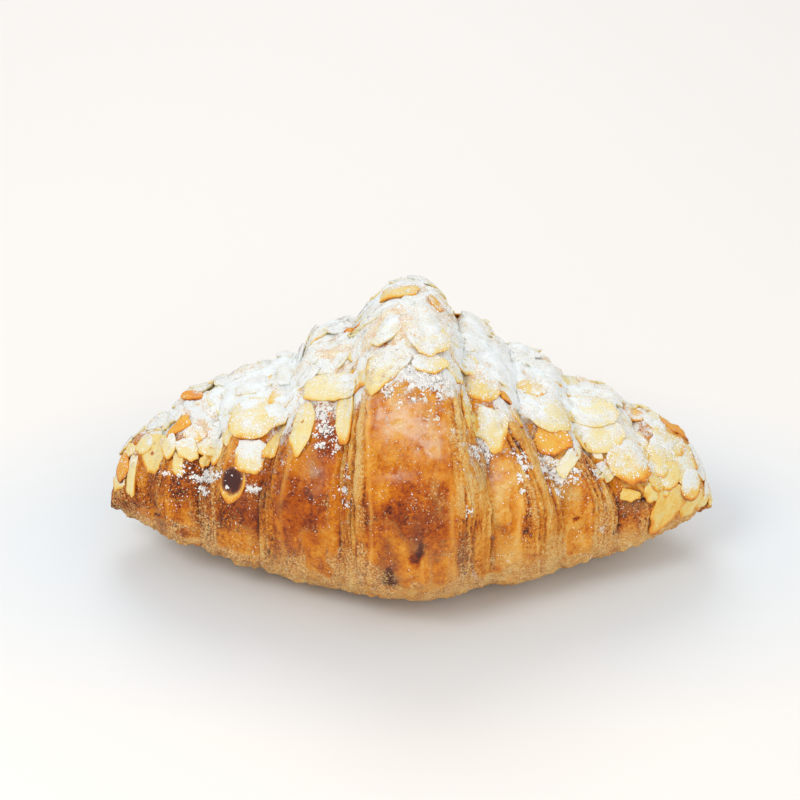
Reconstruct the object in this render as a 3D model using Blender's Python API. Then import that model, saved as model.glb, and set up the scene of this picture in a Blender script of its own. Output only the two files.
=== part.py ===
# Almond croissant: one rolled, laminated dough body with a flat base, its upper half
# covered with flaked almonds that are baked on. X runs along the roll from the left tip to
# the right tip, -Y is the front, Z is up, and the base lies on z = 0.

import bpy
import bmesh
import numpy as np

MM = 0.001

# Dough body
LENGTH = 160 * MM
MIDDLE_HEIGHT = 74 * MM
MIDDLE_WIDTH = 94 * MM
TIP_HEIGHT = 22 * MM
TIP_WIDTH = 21 * MM
ROUND_END = 19 * MM       # length of the rounded end at each tip
CREST_ROUNDING = 6 * MM   # how softly the two halves meet in the middle
TIP_LIFT = 10.5 * MM      # how far the tips curve up off the base
BASE_SINK = 1.5 * MM      # depth that the flat base takes off the underside
LOWER_SHARE = 0.44        # share of a section's height below its widest line
HEIGHT_FALL = {-1: 1.06, 1: 1.20}   # how fast the height falls, left and right
WIDTH_FALL = 1.05

# Wraps of the rolled dough: where each wrap ends, from the middle out
FRONT_EDGES = {-1: (0, 17.8, 38.6, 54.5, 68.5, 80), 1: (0, 20.5, 38.5, 53, 65, 80)}   # mm, low at the front
CREST_EDGES = {-1: (0, 14.5, 31, 48, 64, 80), 1: (0, 12.5, 26, 40, 58, 80)}           # mm, along the top
WRAPS = 5
STEP_SHARE = (0.75, 0.85, 0.70, 0.60, 0.15)       # how strongly each wrap steps down to the next
STEP_SHIFT = (0.0, 0.12, 0.14, 0.12, 0.0, 0.0)
TREAD = 0.6               # share of a wrap that is its level tread
TREAD_FALL = 0.22         # share of the fall that the tread takes
SEAM_DEPTH = (0.35 * MM, 1.4 * MM)   # low down, along the top
STEP_STRENGTH = (0.05, 1.0)          # share of the step down, low and along the top
SEAM_REACH = 0.07         # half width of a seam, as a share of its wrap
LUMP_HEIGHT = 0.5 * MM
STATIONS_IN_WRAP = (0.0, 0.09, 0.32, 0.58, 0.78, 0.92)
LAST_STATION = 4.93
ROUND_STEPS = 32

# Flaked almonds
FLAKE_THICKNESS = 1.3 * MM
FLAKE_CORNERS = 9
FLAKE_BED = 0.35 * MM     # how far a flake's middle stands clear of the crust
FLAKE_TILT = (0, 6)       # degrees that a flake's tip is raised
FLAKE_ZONE = {"front": (152, 134), "back": (214, 246)}   # degrees round the roll, middle and ends
SCATTERED_FLAKES = 105
SCATTER_SEED = 11
SMALLEST_FLAKE = 8.5 * MM
LARGEST_FLAKE = 17 * MM
FLAKE_SPACING = 0.36      # least distance between two flakes, as a share of their lengths added

# Flakes that stand out at the front and the ends. Each row is the place along X in mm, the
# place round the roll in degrees (90 the front, 180 the top), length and width in mm, and
# the turn of the long axis in degrees (0 hangs down, 90 points to +X).
PLACED_FLAKES = (
    # left end
    (-76, 126, 10, 6, -10), (-73, 131, 12, 4, -20), (-74, 155, 8, 6, -30),
    (-66, 139, 10, 7.5, -15), (-69, 160, 7, 6, 40), (-59.5, 129, 6, 3, 0),
    (-61, 155, 7.5, 6, -60), (-57, 184, 6, 5.5, 60), (-55, 150, 6, 5, 80),
    # left wraps
    (-52, 142, 8, 5, 75), (-46, 117, 13, 6.8, -15), (-40.5, 131, 9, 8.5, 0),
    (-46, 150, 10, 6, 0), (-39, 153, 16.5, 13, 90), (-34, 139, 10.5, 4, -25),
    (-31, 161, 9, 6, 85), (-27.5, 139, 15, 7.5, -10), (-20, 156, 14, 9, 80),
    # middle wrap
    (-16, 142, 16, 5.5, -5), (-14.5, 178, 9, 7, 80), (-6, 149, 13, 11.5, 20),
    (-4, 189, 9, 7, 85), (4, 162, 12, 11.5, 0), (4.5, 151, 11, 6.5, 85),
    (6, 184, 8, 5, 10), (13.5, 143, 12.5, 8, 20),
    # right wraps
    (19.5, 138, 12, 8.5, -5), (18, 155, 9, 8, 85), (26, 149, 6.5, 5.5, 60),
    (30.5, 168, 8, 6, 90), (34.5, 156, 15, 12, 90), (36, 141, 10, 8, 70),
    (39.5, 132, 11, 4, -35), (46, 168, 16, 12, 85), (48, 153, 15, 11, 90),
    (48, 128, 5.5, 4, -60),
    # right end
    (55.5, 129, 13, 12, 0), (57, 152, 10, 9, 30), (57.5, 184, 7, 6, 30),
    (61, 133, 11, 4, 0), (66.5, 158, 8.5, 7, 60), (70.5, 145, 13, 11, 40),
    (66, 115, 6, 3.5, 0), (72, 115, 6, 4.5, 10), (69, 192, 10, 7, 80),
    (74, 100, 9, 7, 10), (65.5, 94, 14, 11, -15),
)

CRUST_COLOUR = (0.55, 0.24, 0.06, 1.0)
CRUST_ROUGHNESS = 0.55


def ease(t):
    t = np.clip(t, 0, 1)
    return t * t * (3 - 2 * t)


# 0 low on the roll, 1 along its top
def height_share(angle):
    return ease((1 - np.cos(angle)) / 2)


# Share of the way from a wrap's edge low at the front (0) to its edge along the top (1)
def wrap_turn(angle):
    half_turns = np.mod(angle, 2 * np.pi) / np.pi
    front = ease((half_turns - 0.55) / 0.40)
    back = 1 + 0.45 * ease(half_turns - 1) / ease(0.7)
    return np.where(half_turns < 1, front, np.minimum(back, 1.45)) * (1 - ease((half_turns - 1.72) / 0.28))


# Place along X of a point given by its wrap coordinate (whole numbers are the seams)
def along(wrap, angle):
    wrap, angle = np.broadcast_arrays(wrap, angle)
    turn = wrap_turn(angle)
    index = np.clip(np.abs(wrap).astype(int), 0, WRAPS - 1)
    part = np.abs(wrap) - index
    x = np.zeros(wrap.shape)
    for side in (-1, 1):
        front = np.array(FRONT_EDGES[side]) * MM
        crest = np.array(CREST_EDGES[side]) * MM
        edges = front + (crest - front) * turn[..., None]
        inner = np.take_along_axis(edges, index[..., None], -1)[..., 0]
        outer = np.take_along_axis(edges, index[..., None] + 1, -1)[..., 0]
        x = np.where(np.sign(wrap) == side, side * (inner + (outer - inner) * part), x)
    return x


# Wrap coordinate that gives a section its size: level on the tread, then a step down
def stepped(wrap, strength):
    index = np.clip(np.abs(wrap).astype(int), 0, WRAPS - 1)
    part = np.abs(wrap) - index
    riser = TREAD_FALL + (1 - TREAD_FALL) * ease((part - TREAD) / (1 - TREAD))
    fall = np.where(part < TREAD, TREAD_FALL * part / TREAD, riser)
    shift = np.array(STEP_SHIFT)
    shift = shift[index] + (shift[index + 1] - shift[index]) * part
    moved = np.abs(wrap) + (fall - part) * strength * np.array(STEP_SHARE)[index] + shift
    return np.sign(wrap) * np.minimum(moved, WRAPS)


# Height and width of the section at x: a line from the middle to the tip, rounded off there
def section_size(x):
    soft = np.abs(x) * (1 - np.exp(-np.abs(x) / CREST_ROUNDING))
    line = np.clip(1 - soft / (LENGTH / 2), 0, 1)
    into_end = np.clip(np.abs(x) - (LENGTH / 2 - ROUND_END), 0, None) / ROUND_END
    end = np.sqrt(np.clip(1 - into_end ** 2, 0, 1))
    height_line = line ** np.where(x > 0, HEIGHT_FALL[1], HEIGHT_FALL[-1])
    height = (TIP_HEIGHT + (MIDDLE_HEIGHT - TIP_HEIGHT) * height_line) * end
    width = (TIP_WIDTH + (MIDDLE_WIDTH - TIP_WIDTH) * line ** WIDTH_FALL) * end
    return height, width


# Seams pressed in between the wraps, and slow lumps from baking
def relief(wrap, angle, x):
    from_seam = np.abs(wrap - np.round(wrap)) / SEAM_REACH
    is_seam = (np.abs(np.round(wrap)) > 0) & (np.abs(np.round(wrap)) < WRAPS)
    depth = SEAM_DEPTH[0] + (SEAM_DEPTH[1] - SEAM_DEPTH[0]) * height_share(angle)
    seam = -depth * np.exp(-from_seam ** 2) * is_seam
    lumps = np.sin(x * 170 + 2 * angle) * np.cos(x * 95 - 3 * angle + 1.0)
    return seam + LUMP_HEIGHT * lumps


# Points of the crust for arrays of wrap coordinate and angle round the roll
def crust_point(wrap, angle):
    wrap, angle = np.broadcast_arrays(np.asarray(wrap, float), np.asarray(angle, float))
    sine, rise = np.sin(angle), -np.cos(angle)
    x = along(wrap, angle)
    strength = STEP_STRENGTH[0] + (STEP_STRENGTH[1] - STEP_STRENGTH[0]) * height_share(angle)
    height, width = section_size(along(stepped(wrap, strength), angle))
    grow = relief(wrap, angle, x) * np.minimum(height / (15 * MM), 1)
    out = np.abs(x) / (LENGTH / 2)
    lift = -BASE_SINK + (TIP_LIFT + BASE_SINK) * ease((out - 0.2) / 0.95)
    below = LOWER_SHARE * height
    y = -(width / 2 + grow) * np.sign(sine) * np.abs(sine) ** 0.92
    upper = (height - below + grow) * np.abs(rise) ** 0.95
    lower = -(below + grow) * np.abs(rise) ** 0.62
    z = lift + below + np.where(rise < 0, lower, upper)
    return np.stack([x, y, np.maximum(z, 0)], -1)


def crust_material():
    material = bpy.data.materials.new("baked_crust")
    material.use_nodes = True
    shader = material.node_tree.nodes["Principled BSDF"]
    shader.inputs["Base Color"].default_value = CRUST_COLOUR
    shader.inputs["Roughness"].default_value = CRUST_ROUGHNESS
    shader.inputs["Metallic"].default_value = 0.0
    return material


def new_object(name, vertices, faces):
    mesh = bpy.data.meshes.new(name)
    mesh.from_pydata([tuple(v) for v in vertices], [], faces)
    mesh.validate()
    shape = bpy.data.objects.new(name, mesh)
    bpy.context.scene.collection.objects.link(shape)
    return shape


# The dough: rings of points at each station along the roll, closed by a point at each tip
def build_dough(name):
    half = [index + part for index in range(WRAPS) for part in STATIONS_IN_WRAP][1:] + [LAST_STATION]
    stations = np.array([-w for w in reversed(half)] + [0.0] + half)
    angles = np.arange(ROUND_STEPS) * 2 * np.pi / ROUND_STEPS
    rings = crust_point(stations[:, None], angles[None, :])
    tips = [crust_point(-float(WRAPS), np.pi / 2), crust_point(float(WRAPS), np.pi / 2)]
    vertices = list(rings.reshape(-1, 3)) + tips
    left_tip, right_tip = len(vertices) - 2, len(vertices) - 1
    last_ring = (len(stations) - 1) * ROUND_STEPS
    faces = []
    for step in range(ROUND_STEPS):
        beside = (step + 1) % ROUND_STEPS
        for ring in range(0, last_ring, ROUND_STEPS):
            faces.append((ring + step, ring + ROUND_STEPS + step, ring + ROUND_STEPS + beside, ring + beside))
        faces.append((left_tip, step, beside))
        faces.append((right_tip, last_ring + beside, last_ring + step))
    return new_object(name, vertices, faces)


# Wrap coordinate of the crust point with the given x at the given angle
def wrap_at(x, angle):
    wraps = np.linspace(-WRAPS, WRAPS, 1001)
    return np.interp(x, along(wraps, np.full(wraps.shape, angle)), wraps)


# Middle, direction along X, direction up round the roll, and outward direction, levelled
# over the given reach to each side
def crust_frame(x, angle, reach):
    wrap = wrap_at(x, angle)
    middle = crust_point(wrap, angle)
    ends = np.clip([x - reach, x + reach], -LENGTH / 2, LENGTH / 2)
    ahead = crust_point(wrap_at(ends[1], angle), angle) - crust_point(wrap_at(ends[0], angle), angle)
    swing = reach / (MIDDLE_HEIGHT / 2)
    upward = crust_point(wrap, angle + swing) - crust_point(wrap, angle - swing)
    ahead, upward = ahead / np.linalg.norm(ahead), upward / np.linalg.norm(upward)
    outward = np.cross(ahead, upward)
    outward /= np.linalg.norm(outward)
    return middle, ahead, np.cross(outward, ahead), outward


# One almond flake: an egg-shaped plate, tilted a little, bedded in the crust
def build_flake(name, x, angle, length, width, turn, chance):
    middle, ahead, upward, outward = crust_frame(x, angle, 0.4 * length)
    long_way = -upward * np.cos(turn) + ahead * np.sin(turn)
    tilt = np.radians(chance.uniform(*FLAKE_TILT))
    long_way = long_way * np.cos(tilt) + outward * np.sin(tilt)
    cross_way = np.cross(outward, long_way)
    cross_way /= np.linalg.norm(cross_way)
    through = np.cross(long_way, cross_way)
    corners = np.arange(FLAKE_CORNERS) * 2 * np.pi / FLAKE_CORNERS
    ragged = 1 + chance.uniform(-0.09, 0.09, FLAKE_CORNERS)
    along_flake = length / 2 * np.cos(corners) * ragged
    across_flake = width / 2 * np.sin(corners) * ragged * (1 - 0.22 * np.cos(corners))
    rim = middle + along_flake[:, None] * long_way + across_flake[:, None] * cross_way
    top = rim + through * (FLAKE_BED + FLAKE_THICKNESS / 2)
    bottom = rim + through * (FLAKE_BED - FLAKE_THICKNESS / 2)
    count = FLAKE_CORNERS
    faces = [tuple(range(count)), tuple(range(2 * count - 1, count - 1, -1))]
    faces += [(i, i + count, (i + 1) % count + count, (i + 1) % count) for i in range(count)]
    return new_object(name, list(top) + list(bottom), faces)


# Angles between which flakes are scattered at place x: narrow in the middle, wide at the ends
def flake_zone(x):
    out = min(abs(x) / (LENGTH / 4), 1)
    return [np.radians(middle + (end - middle) * out) for middle, end in FLAKE_ZONE.values()]


# Places for the scattered flakes, the largest first, each clear of the ones before it
def scatter_flakes(chance):
    rows = [(x * MM, np.radians(a), l * MM, w * MM, np.radians(t)) for x, a, l, w, t in PLACED_FLAKES]
    taken = [(crust_point(wrap_at(x, a), a), length) for x, a, length, _, _ in rows]
    for number in range(SCATTERED_FLAKES):
        length = LARGEST_FLAKE + (SMALLEST_FLAKE - LARGEST_FLAKE) * (number / SCATTERED_FLAKES) ** 0.8
        for _ in range(400):
            x = chance.uniform(-77, 77) * MM
            angle = chance.uniform(*flake_zone(x))
            middle = crust_point(wrap_at(x, angle), angle)
            gaps = [np.linalg.norm(middle - other) - FLAKE_SPACING * (length + size) for other, size in taken]
            if min(gaps) > 0:
                taken.append((middle, length))
                width = length * chance.uniform(0.6, 0.85)
                rows.append((x, angle, length, width, chance.uniform(0, 2 * np.pi)))
                break
    return rows


# Joins every object of the collection to the dough and applies the join
def fuse(dough, pieces):
    join = dough.modifiers.new("flakes", "BOOLEAN")
    join.operation = "UNION"
    join.operand_type = "COLLECTION"
    join.collection = pieces
    join.solver = "EXACT"
    graph = bpy.context.evaluated_depsgraph_get()
    joined = bpy.data.meshes.new_from_object(dough.evaluated_get(graph))
    dough.modifiers.clear()
    dough.data = joined
    for piece in list(pieces.objects):
        bpy.data.objects.remove(piece)
    bpy.data.collections.remove(pieces)


# Keeps the outer shell alone: hollows sealed by the join are filled, loose scraps dropped
def keep_outer_shell(shape):
    work = bmesh.new()
    work.from_mesh(shape.data)
    bmesh.ops.triangulate(work, faces=work.faces)
    left = set(work.verts)
    shells = []
    while left:
        shell, front = set(), [left.pop()]
        while front:
            vertex = front.pop()
            shell.add(vertex)
            near = [edge.other_vert(vertex) for edge in vertex.link_edges]
            front += [v for v in near if v in left]
            left.difference_update(near)
        shells.append(shell)
    outer = max(shells, key=len)
    bmesh.ops.delete(work, geom=[v for v in work.verts if v not in outer], context="VERTS")
    bmesh.ops.recalc_face_normals(work, faces=work.faces)
    work.to_mesh(shape.data)
    print("shells", len(shells), "triangles", len(work.faces))
    work.free()


def build_croissant():
    chance = np.random.default_rng(SCATTER_SEED)
    dough = build_dough("croissant")
    pieces = bpy.data.collections.new("flakes")
    bpy.context.scene.collection.children.link(pieces)
    for number, row in enumerate(scatter_flakes(chance)):
        flake = build_flake(f"flake_{number}", *row, chance)
        bpy.context.scene.collection.objects.unlink(flake)
        pieces.objects.link(flake)
    fuse(dough, pieces)
    keep_outer_shell(dough)
    dough.data.materials.clear()
    dough.data.materials.append(crust_material())
    return dough


def main():
    for old in list(bpy.data.objects):
        bpy.data.objects.remove(old)
    build_croissant()


main()
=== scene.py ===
import math
import bpy
import numpy as np
from mathutils import Matrix, Vector


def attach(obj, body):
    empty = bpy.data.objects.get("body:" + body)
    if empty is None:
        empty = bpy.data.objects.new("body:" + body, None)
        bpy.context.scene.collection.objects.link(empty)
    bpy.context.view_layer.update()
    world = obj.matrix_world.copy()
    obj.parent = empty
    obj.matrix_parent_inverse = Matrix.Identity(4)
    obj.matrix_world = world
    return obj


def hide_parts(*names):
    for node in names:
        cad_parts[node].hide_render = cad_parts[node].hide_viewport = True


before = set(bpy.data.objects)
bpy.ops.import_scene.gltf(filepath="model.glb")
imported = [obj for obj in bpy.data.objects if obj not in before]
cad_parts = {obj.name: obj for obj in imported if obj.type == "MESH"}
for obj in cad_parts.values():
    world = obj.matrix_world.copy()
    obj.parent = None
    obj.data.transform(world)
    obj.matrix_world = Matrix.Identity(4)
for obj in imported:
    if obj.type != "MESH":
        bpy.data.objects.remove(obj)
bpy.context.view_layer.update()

mm = 0.001

# The dough roll: X along it, angle round it (90 degrees the front, 180 the top), wraps counted
# from the middle out, with whole numbers at the seams between them
doughShape = dict(
    length=160 * mm, middleHeight=74 * mm, middleWidth=94 * mm,
    tipHeight=22 * mm, tipWidth=21 * mm, roundEnd=19 * mm, crestRounding=6 * mm,
    tipLift=10.5 * mm, baseSink=1.5 * mm, lowerShare=0.44,
    tipShave=4.0 * mm, shaveFrom=58 * mm, shaveReach=22 * mm,    # how far each tip is drawn in low down
    sidePower=0.92, upperPower=0.95, lowerPower=0.62,            # 1 is an ellipse, less is squarer
    heightFall={-1: 1.06, 1: 1.20}, widthFall=1.05,
    frontEdges={-1: (0, 17.8, 38.6, 54.5, 68.5, 80), 1: (0, 20.5, 38.5, 53, 65, 80)},   # mm
    crestEdges={-1: (0, 14.5, 31, 48, 64, 80), 1: (0, 12.5, 26, 40, 58, 80)},           # mm
    wraps=5, stepShare=(0.75, 0.85, 0.70, 0.60, 0.15), stepShift=(0.0, 0.12, 0.14, 0.12, 0.0, 0.0),
    tread=0.6, treadFall=0.22, stepStrength=(0.05, 1.0),
    seamDepth=(0.35 * mm, 1.4 * mm), seamReach=0.07, lumpHeight=0.5 * mm,
    # dips along the crest that leave the peak narrow, and rises beyond: x mm, reach mm, depth mm
    dips=((-9.6, 3.1, 3.0), (8.8, 3.4, 2.8), (-1, 5, 0.8), (21, 4, 2.2), (27.5, 3, -1.8),
          (-28.5, 3, 2.8), (-38, 7, 0.8), (-47, 4, -2.4)),
)


# 0 below t = 0, 1 above t = 1, and the smooth step 3 t^2 - 2 t^3 between
def ease(t):
    t = np.clip(t, 0, 1)
    return t * t * (3 - 2 * t)


# The given share of the straight way from first to last
def between(first, last, share):
    return first + (last - first) * share


# Vectors divided by their lengths
def unit(vectors):
    return vectors / np.maximum(np.linalg.norm(vectors, axis=-1, keepdims=True), 1e-12)


# Smooth random values from -1 to 1: a random lattice, eased between the eight corners of a cell
def smoothNoise(points, cell, seed):
    side = 32
    lattice = np.random.default_rng(seed).uniform(-1, 1, (side, side, side))
    place = points / cell + 100
    corner = np.floor(place).astype(int)
    part = ease(place - corner)
    value = np.zeros(points.shape[:-1])
    for steps in np.ndindex(2, 2, 2):
        weight = math.prod(np.abs(1 - step - part[..., n]) for n, step in enumerate(steps))
        value += weight * lattice[tuple((corner[..., n] + step) % side for n, step in enumerate(steps))]
    return value


# Noise on noise: each octave has half the cell and half the strength of the one before
def roughNoise(points, cell, seed, octaves=3):
    return sum(smoothNoise(points, cell / 2 ** n, seed + n) / 2 ** n for n in range(octaves))


# 0 low on the roll, 1 along its top: the eased height of the angle on a circle
def heightShare(angle):
    return ease((1 - np.cos(angle)) / 2)


# Degrees from the base (0) to the top (180), the same at the front and the back
def degreesUp(angle):
    degrees = np.degrees(np.mod(angle, 2 * np.pi))
    return np.minimum(degrees, 360 - degrees)


# Share of the way from a wrap's edge low at the front (0) to its edge along the top (1): eased up
# the front, a little past the top, and eased back to 0 low at the back
def wrapTurn(angle):
    halfTurns = np.mod(angle, 2 * np.pi) / np.pi
    front = ease((halfTurns - 0.55) / 0.40)
    back = 1 + 0.45 * ease(halfTurns - 1) / ease(0.7)
    return np.where(halfTurns < 1, front, np.minimum(back, 1.45)) * (1 - ease((halfTurns - 1.72) / 0.28))


# Distances of the seams from the middle on one side (-1 or 1): between those of the front and
# those of the crest, by the turn of the wrap at each angle
def seamEdges(side, angle):
    front = np.array(doughShape["frontEdges"][side]) * mm
    crest = np.array(doughShape["crestEdges"][side]) * mm
    return between(front, crest, wrapTurn(angle)[..., None])


# Distances of the two seams beside each wrap with the given number
def seamsBeside(edges, index):
    return [np.take_along_axis(edges, index[..., None] + n, -1)[..., 0] for n in (0, 1)]


# Whole number of each wrap, counted from the middle, and the share of the way across it
def wrapParts(wrap):
    index = np.clip(np.abs(wrap).astype(int), 0, doughShape["wraps"] - 1)
    return index, np.abs(wrap) - index


# Place along X: straight between the two seams on either side of the wrap coordinate
def alongRoll(wrap, angle):
    wrap, angle = np.broadcast_arrays(wrap, angle)
    index, part = wrapParts(wrap)
    x = np.zeros(wrap.shape)
    for side in (-1, 1):
        inner, outer = seamsBeside(seamEdges(side, angle), index)
        x = np.where(np.sign(wrap) == side, side * between(inner, outer, part), x)
    return x


# Wrap coordinate that sets a section's size: level on the tread, then a step down
def steppedWrap(wrap, strength):
    dough = doughShape
    index, part = wrapParts(wrap)
    riser = between(dough["treadFall"], 1, ease((part - dough["tread"]) / (1 - dough["tread"])))
    fall = np.where(part < dough["tread"], dough["treadFall"] * part / dough["tread"], riser)
    shift = np.array(dough["stepShift"])
    shift = between(shift[index], shift[index + 1], part)
    moved = np.abs(wrap) + (fall - part) * strength * np.array(dough["stepShare"])[index] + shift
    return np.sign(wrap) * np.minimum(moved, dough["wraps"])


# Height and width of the section at x: a line from the middle to the tip, rounded off there as a
# circle is
def sectionSize(x):
    dough = doughShape
    half = dough["length"] / 2
    soft = np.abs(x) * (1 - np.exp(-np.abs(x) / dough["crestRounding"]))
    line = np.clip(1 - soft / half, 0, 1)
    intoEnd = np.clip(np.abs(x) - (half - dough["roundEnd"]), 0, None) / dough["roundEnd"]
    end = np.sqrt(np.clip(1 - intoEnd ** 2, 0, 1))
    heightLine = line ** np.where(x > 0, dough["heightFall"][1], dough["heightFall"][-1])
    height = between(dough["tipHeight"], dough["middleHeight"], heightLine) * end
    width = between(dough["tipWidth"], dough["middleWidth"], line ** dough["widthFall"]) * end
    return height, width


# Height of the base under the section at x: sunk a little in the middle, eased up to the tips
def sectionLift(x):
    dough = doughShape
    out = np.abs(x) / (dough["length"] / 2)
    return between(-dough["baseSink"], dough["tipLift"], ease((out - 0.2) / 0.95))


# Depth of the seams (a bell across each whole number), bells for the dips along the crest, and
# slow lumps from baking (a product of two waves)
def seamsAndLumps(wrap, angle, x):
    dough = doughShape
    nearest = np.abs(np.round(wrap))
    isSeam = (nearest > 0) & (nearest < dough["wraps"])
    depth = between(*dough["seamDepth"], heightShare(angle))
    seam = -depth * np.exp(-((wrap - np.round(wrap)) / dough["seamReach"]) ** 2) * isSeam
    dip = sum(deep * np.exp(-((x / mm - place) / reach) ** 2) for place, reach, deep in dough["dips"]) * mm
    onCrest = ease((-np.cos(angle - 0.35) - 0.80) / 0.14)
    lumps = dough["lumpHeight"] * np.sin(x * 170 + 2 * angle) * np.cos(x * 95 - 3 * angle + 1.0)
    return seam - dip * onCrest + lumps


# Points of the crust: a section of the given size at each x, squarer below than above, with
# its underside cut flat at z = 0 and drawn in a little under the tips
def crustPoint(wrap, angle):
    dough = doughShape
    wrap, angle = np.broadcast_arrays(np.asarray(wrap, float), np.asarray(angle, float))
    sine, rise = np.sin(angle), -np.cos(angle)
    x = alongRoll(wrap, angle)
    strength = between(*dough["stepStrength"], heightShare(angle))
    height, width = sectionSize(alongRoll(steppedWrap(wrap, strength), angle))
    grow = seamsAndLumps(wrap, angle, x) * np.minimum(height / (15 * mm), 1)
    below = dough["lowerShare"] * height
    y = -(width / 2 + grow) * np.sign(sine) * np.abs(sine) ** dough["sidePower"]
    upper = (height - below + grow) * np.abs(rise) ** dough["upperPower"]
    lower = -(below + grow) * np.abs(rise) ** dough["lowerPower"]
    z = sectionLift(x) + below + np.where(rise < 0, lower, upper)
    shaved = dough["tipShave"] * ease((np.abs(x) - dough["shaveFrom"]) / dough["shaveReach"])
    shaved = shaved * ease((np.cos(angle) + 0.50) / 0.8)
    return np.stack([x - np.sign(x) * shaved, y, np.maximum(z, 0)], -1)


# Wrap coordinate of the crust point with the given x at the given angle: the share of the way
# between the two seams beside it
def wrapAt(x, angle):
    x, angle = np.broadcast_arrays(x, angle)
    edges = np.where((x < 0)[..., None], seamEdges(-1, angle), seamEdges(1, angle))
    index = np.clip((np.abs(x)[..., None] >= edges).sum(-1) - 1, 0, doughShape["wraps"] - 1)
    inner, outer = seamsBeside(edges, index)
    return np.sign(x) * (index + (np.abs(x) - inner) / (outer - inner))


# Angle round the roll of any points near its crust, from how far out and up each lies in its
# section, turning the powers in crustPoint round
def angleAt(points):
    dough = doughShape
    x, y, z = points.T
    height, width = sectionSize(np.clip(x, -78 * mm, 78 * mm))
    below = dough["lowerShare"] * height
    out = (np.abs(y) / (width / 2)) ** (1 / dough["sidePower"])
    over = z - sectionLift(x) - below
    power = np.where(over > 0, 1 / dough["upperPower"], 1 / dough["lowerPower"])
    rise = np.sign(over) * (np.abs(over) / np.where(over > 0, height - below, below)) ** power
    half = np.pi - np.arctan2(out, rise)
    return np.where(y < 0, half, 2 * np.pi - half)


# Middle, direction along X, direction up round the roll, and outward direction, levelled over
# the given reach to each side
def crustFrame(x, angle, reach):
    wrap = wrapAt(x, angle)
    half = doughShape["length"] / 2
    ends = np.clip([x - reach, x + reach], -half, half)
    ahead = unit(crustPoint(wrapAt(ends[1], angle), angle) - crustPoint(wrapAt(ends[0], angle), angle))
    swing = reach / (doughShape["middleHeight"] / 2)
    upward = unit(crustPoint(wrap, angle + swing) - crustPoint(wrap, angle - swing))
    outward = unit(np.cross(ahead, upward))
    return crustPoint(wrap, angle), ahead, np.cross(outward, ahead), outward


# A mesh object at the origin from arrays: points, faces, values for each point, a UV pair for
# each face corner, and shading normals for each point
def makePiece(name, points, faces, material, values=None, uvs=None, normals=None):
    mesh = bpy.data.meshes.new(name)
    mesh.from_pydata(points.tolist(), [], faces if isinstance(faces, list) else faces.tolist())
    for key, value in (values or {}).items():
        layer = mesh.attributes.new(key, "FLOAT", "POINT")
        layer.data.foreach_set("value", np.ascontiguousarray(value, np.float32).ravel())
    if uvs is not None:
        mesh.uv_layers.new(name="UVMap").data.foreach_set("uv", np.ascontiguousarray(uvs, np.float32).ravel())
    mesh.shade_smooth()
    if normals is not None:
        mesh.normals_split_custom_set_from_vertices(normals.tolist())
    piece = bpy.data.objects.new(name, mesh)
    bpy.context.scene.collection.objects.link(piece)
    mesh.materials.append(material)
    return piece


# Faces of four corners between the rows and columns of a grid of points, whose last column can
# be joined to its first
def gridFaces(rows, columns, closed):
    i, j = np.meshgrid(np.arange(rows - 1), np.arange(columns if closed else columns - 1), indexing="ij")
    beside = (j + 1) % columns
    corners = [i * columns + j, (i + 1) * columns + j, (i + 1) * columns + beside, i * columns + beside]
    return np.stack(corners, -1).reshape(-1, 4)


# Outward normals of a grid of points closed round the roll: the cross product of its directions
def gridNormals(points):
    alongWay = np.gradient(points, axis=0)
    roundWay = np.roll(points, -1, axis=1) - np.roll(points, 1, axis=1)
    return unit(np.cross(alongWay, roundWay))


# A new node in a material, with its settings
def addNode(tree, kind, **settings):
    node = tree.nodes.new(kind)
    for key, value in settings.items():
        setattr(node, key, value)
    return node


# A number in a material: each sum, difference or product of it makes a Math node
class NodeValue:
    def __init__(self, socket):
        self.socket = socket

    def join(self, operation, *values):
        node = addNode(self.socket.id_data, "ShaderNodeMath", operation=operation)
        for entry, value in zip(node.inputs, values):
            if isinstance(value, NodeValue):
                node.id_data.links.new(value.socket, entry)
            else:
                entry.default_value = value
        return NodeValue(node.outputs[0])

    def __add__(self, other):
        return self.join("ADD", self, other)

    def __sub__(self, other):
        return self.join("SUBTRACT", self, other)

    def __rsub__(self, other):
        return self.join("SUBTRACT", other, self)

    def __mul__(self, other):
        return self.join("MULTIPLY", self, other)

    def orMore(self, other):
        return self.join("MAXIMUM", self, other)

    # The same number held between 0 and 1, by the clamp of the node that made it
    def clamped(self):
        self.socket.node.use_clamp = True
        return self


# Value of a mesh attribute at the shaded point
def readValue(tree, name):
    return NodeValue(addNode(tree, "ShaderNodeAttribute", attribute_name=name).outputs["Fac"])


# Noise value from 0 to 1 spread about one half; cells is how many lumps there are in a metre,
# and the stretch multiplies the coordinates first
def noiseValue(tree, cells, detail=2.0, coordinates=None, rough=0.5, stretch=None):
    place = coordinates or addNode(tree, "ShaderNodeTexCoord").outputs["Object"]
    if stretch:
        mapping = addNode(tree, "ShaderNodeMapping")
        mapping.inputs["Scale"].default_value = stretch
        tree.links.new(place, mapping.inputs["Vector"])
        place = mapping.outputs[0]
    noise = addNode(tree, "ShaderNodeTexNoise")
    for key, value in dict(Scale=cells, Detail=detail, Roughness=rough).items():
        noise.inputs[key].default_value = value
    tree.links.new(place, noise.inputs["Vector"])
    return NodeValue(noise.outputs["Fac"])


# Scene colour from a screen colour written as RRGGBB
def hexColour(text):
    parts = np.array([int(text[i:i + 2], 16) for i in (0, 2, 4)]) / 255
    linear = np.where(parts < 0.04045, parts / 12.92, ((parts + 0.055) / 1.055) ** 2.4)
    return (*linear.tolist(), 1.0)


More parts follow.
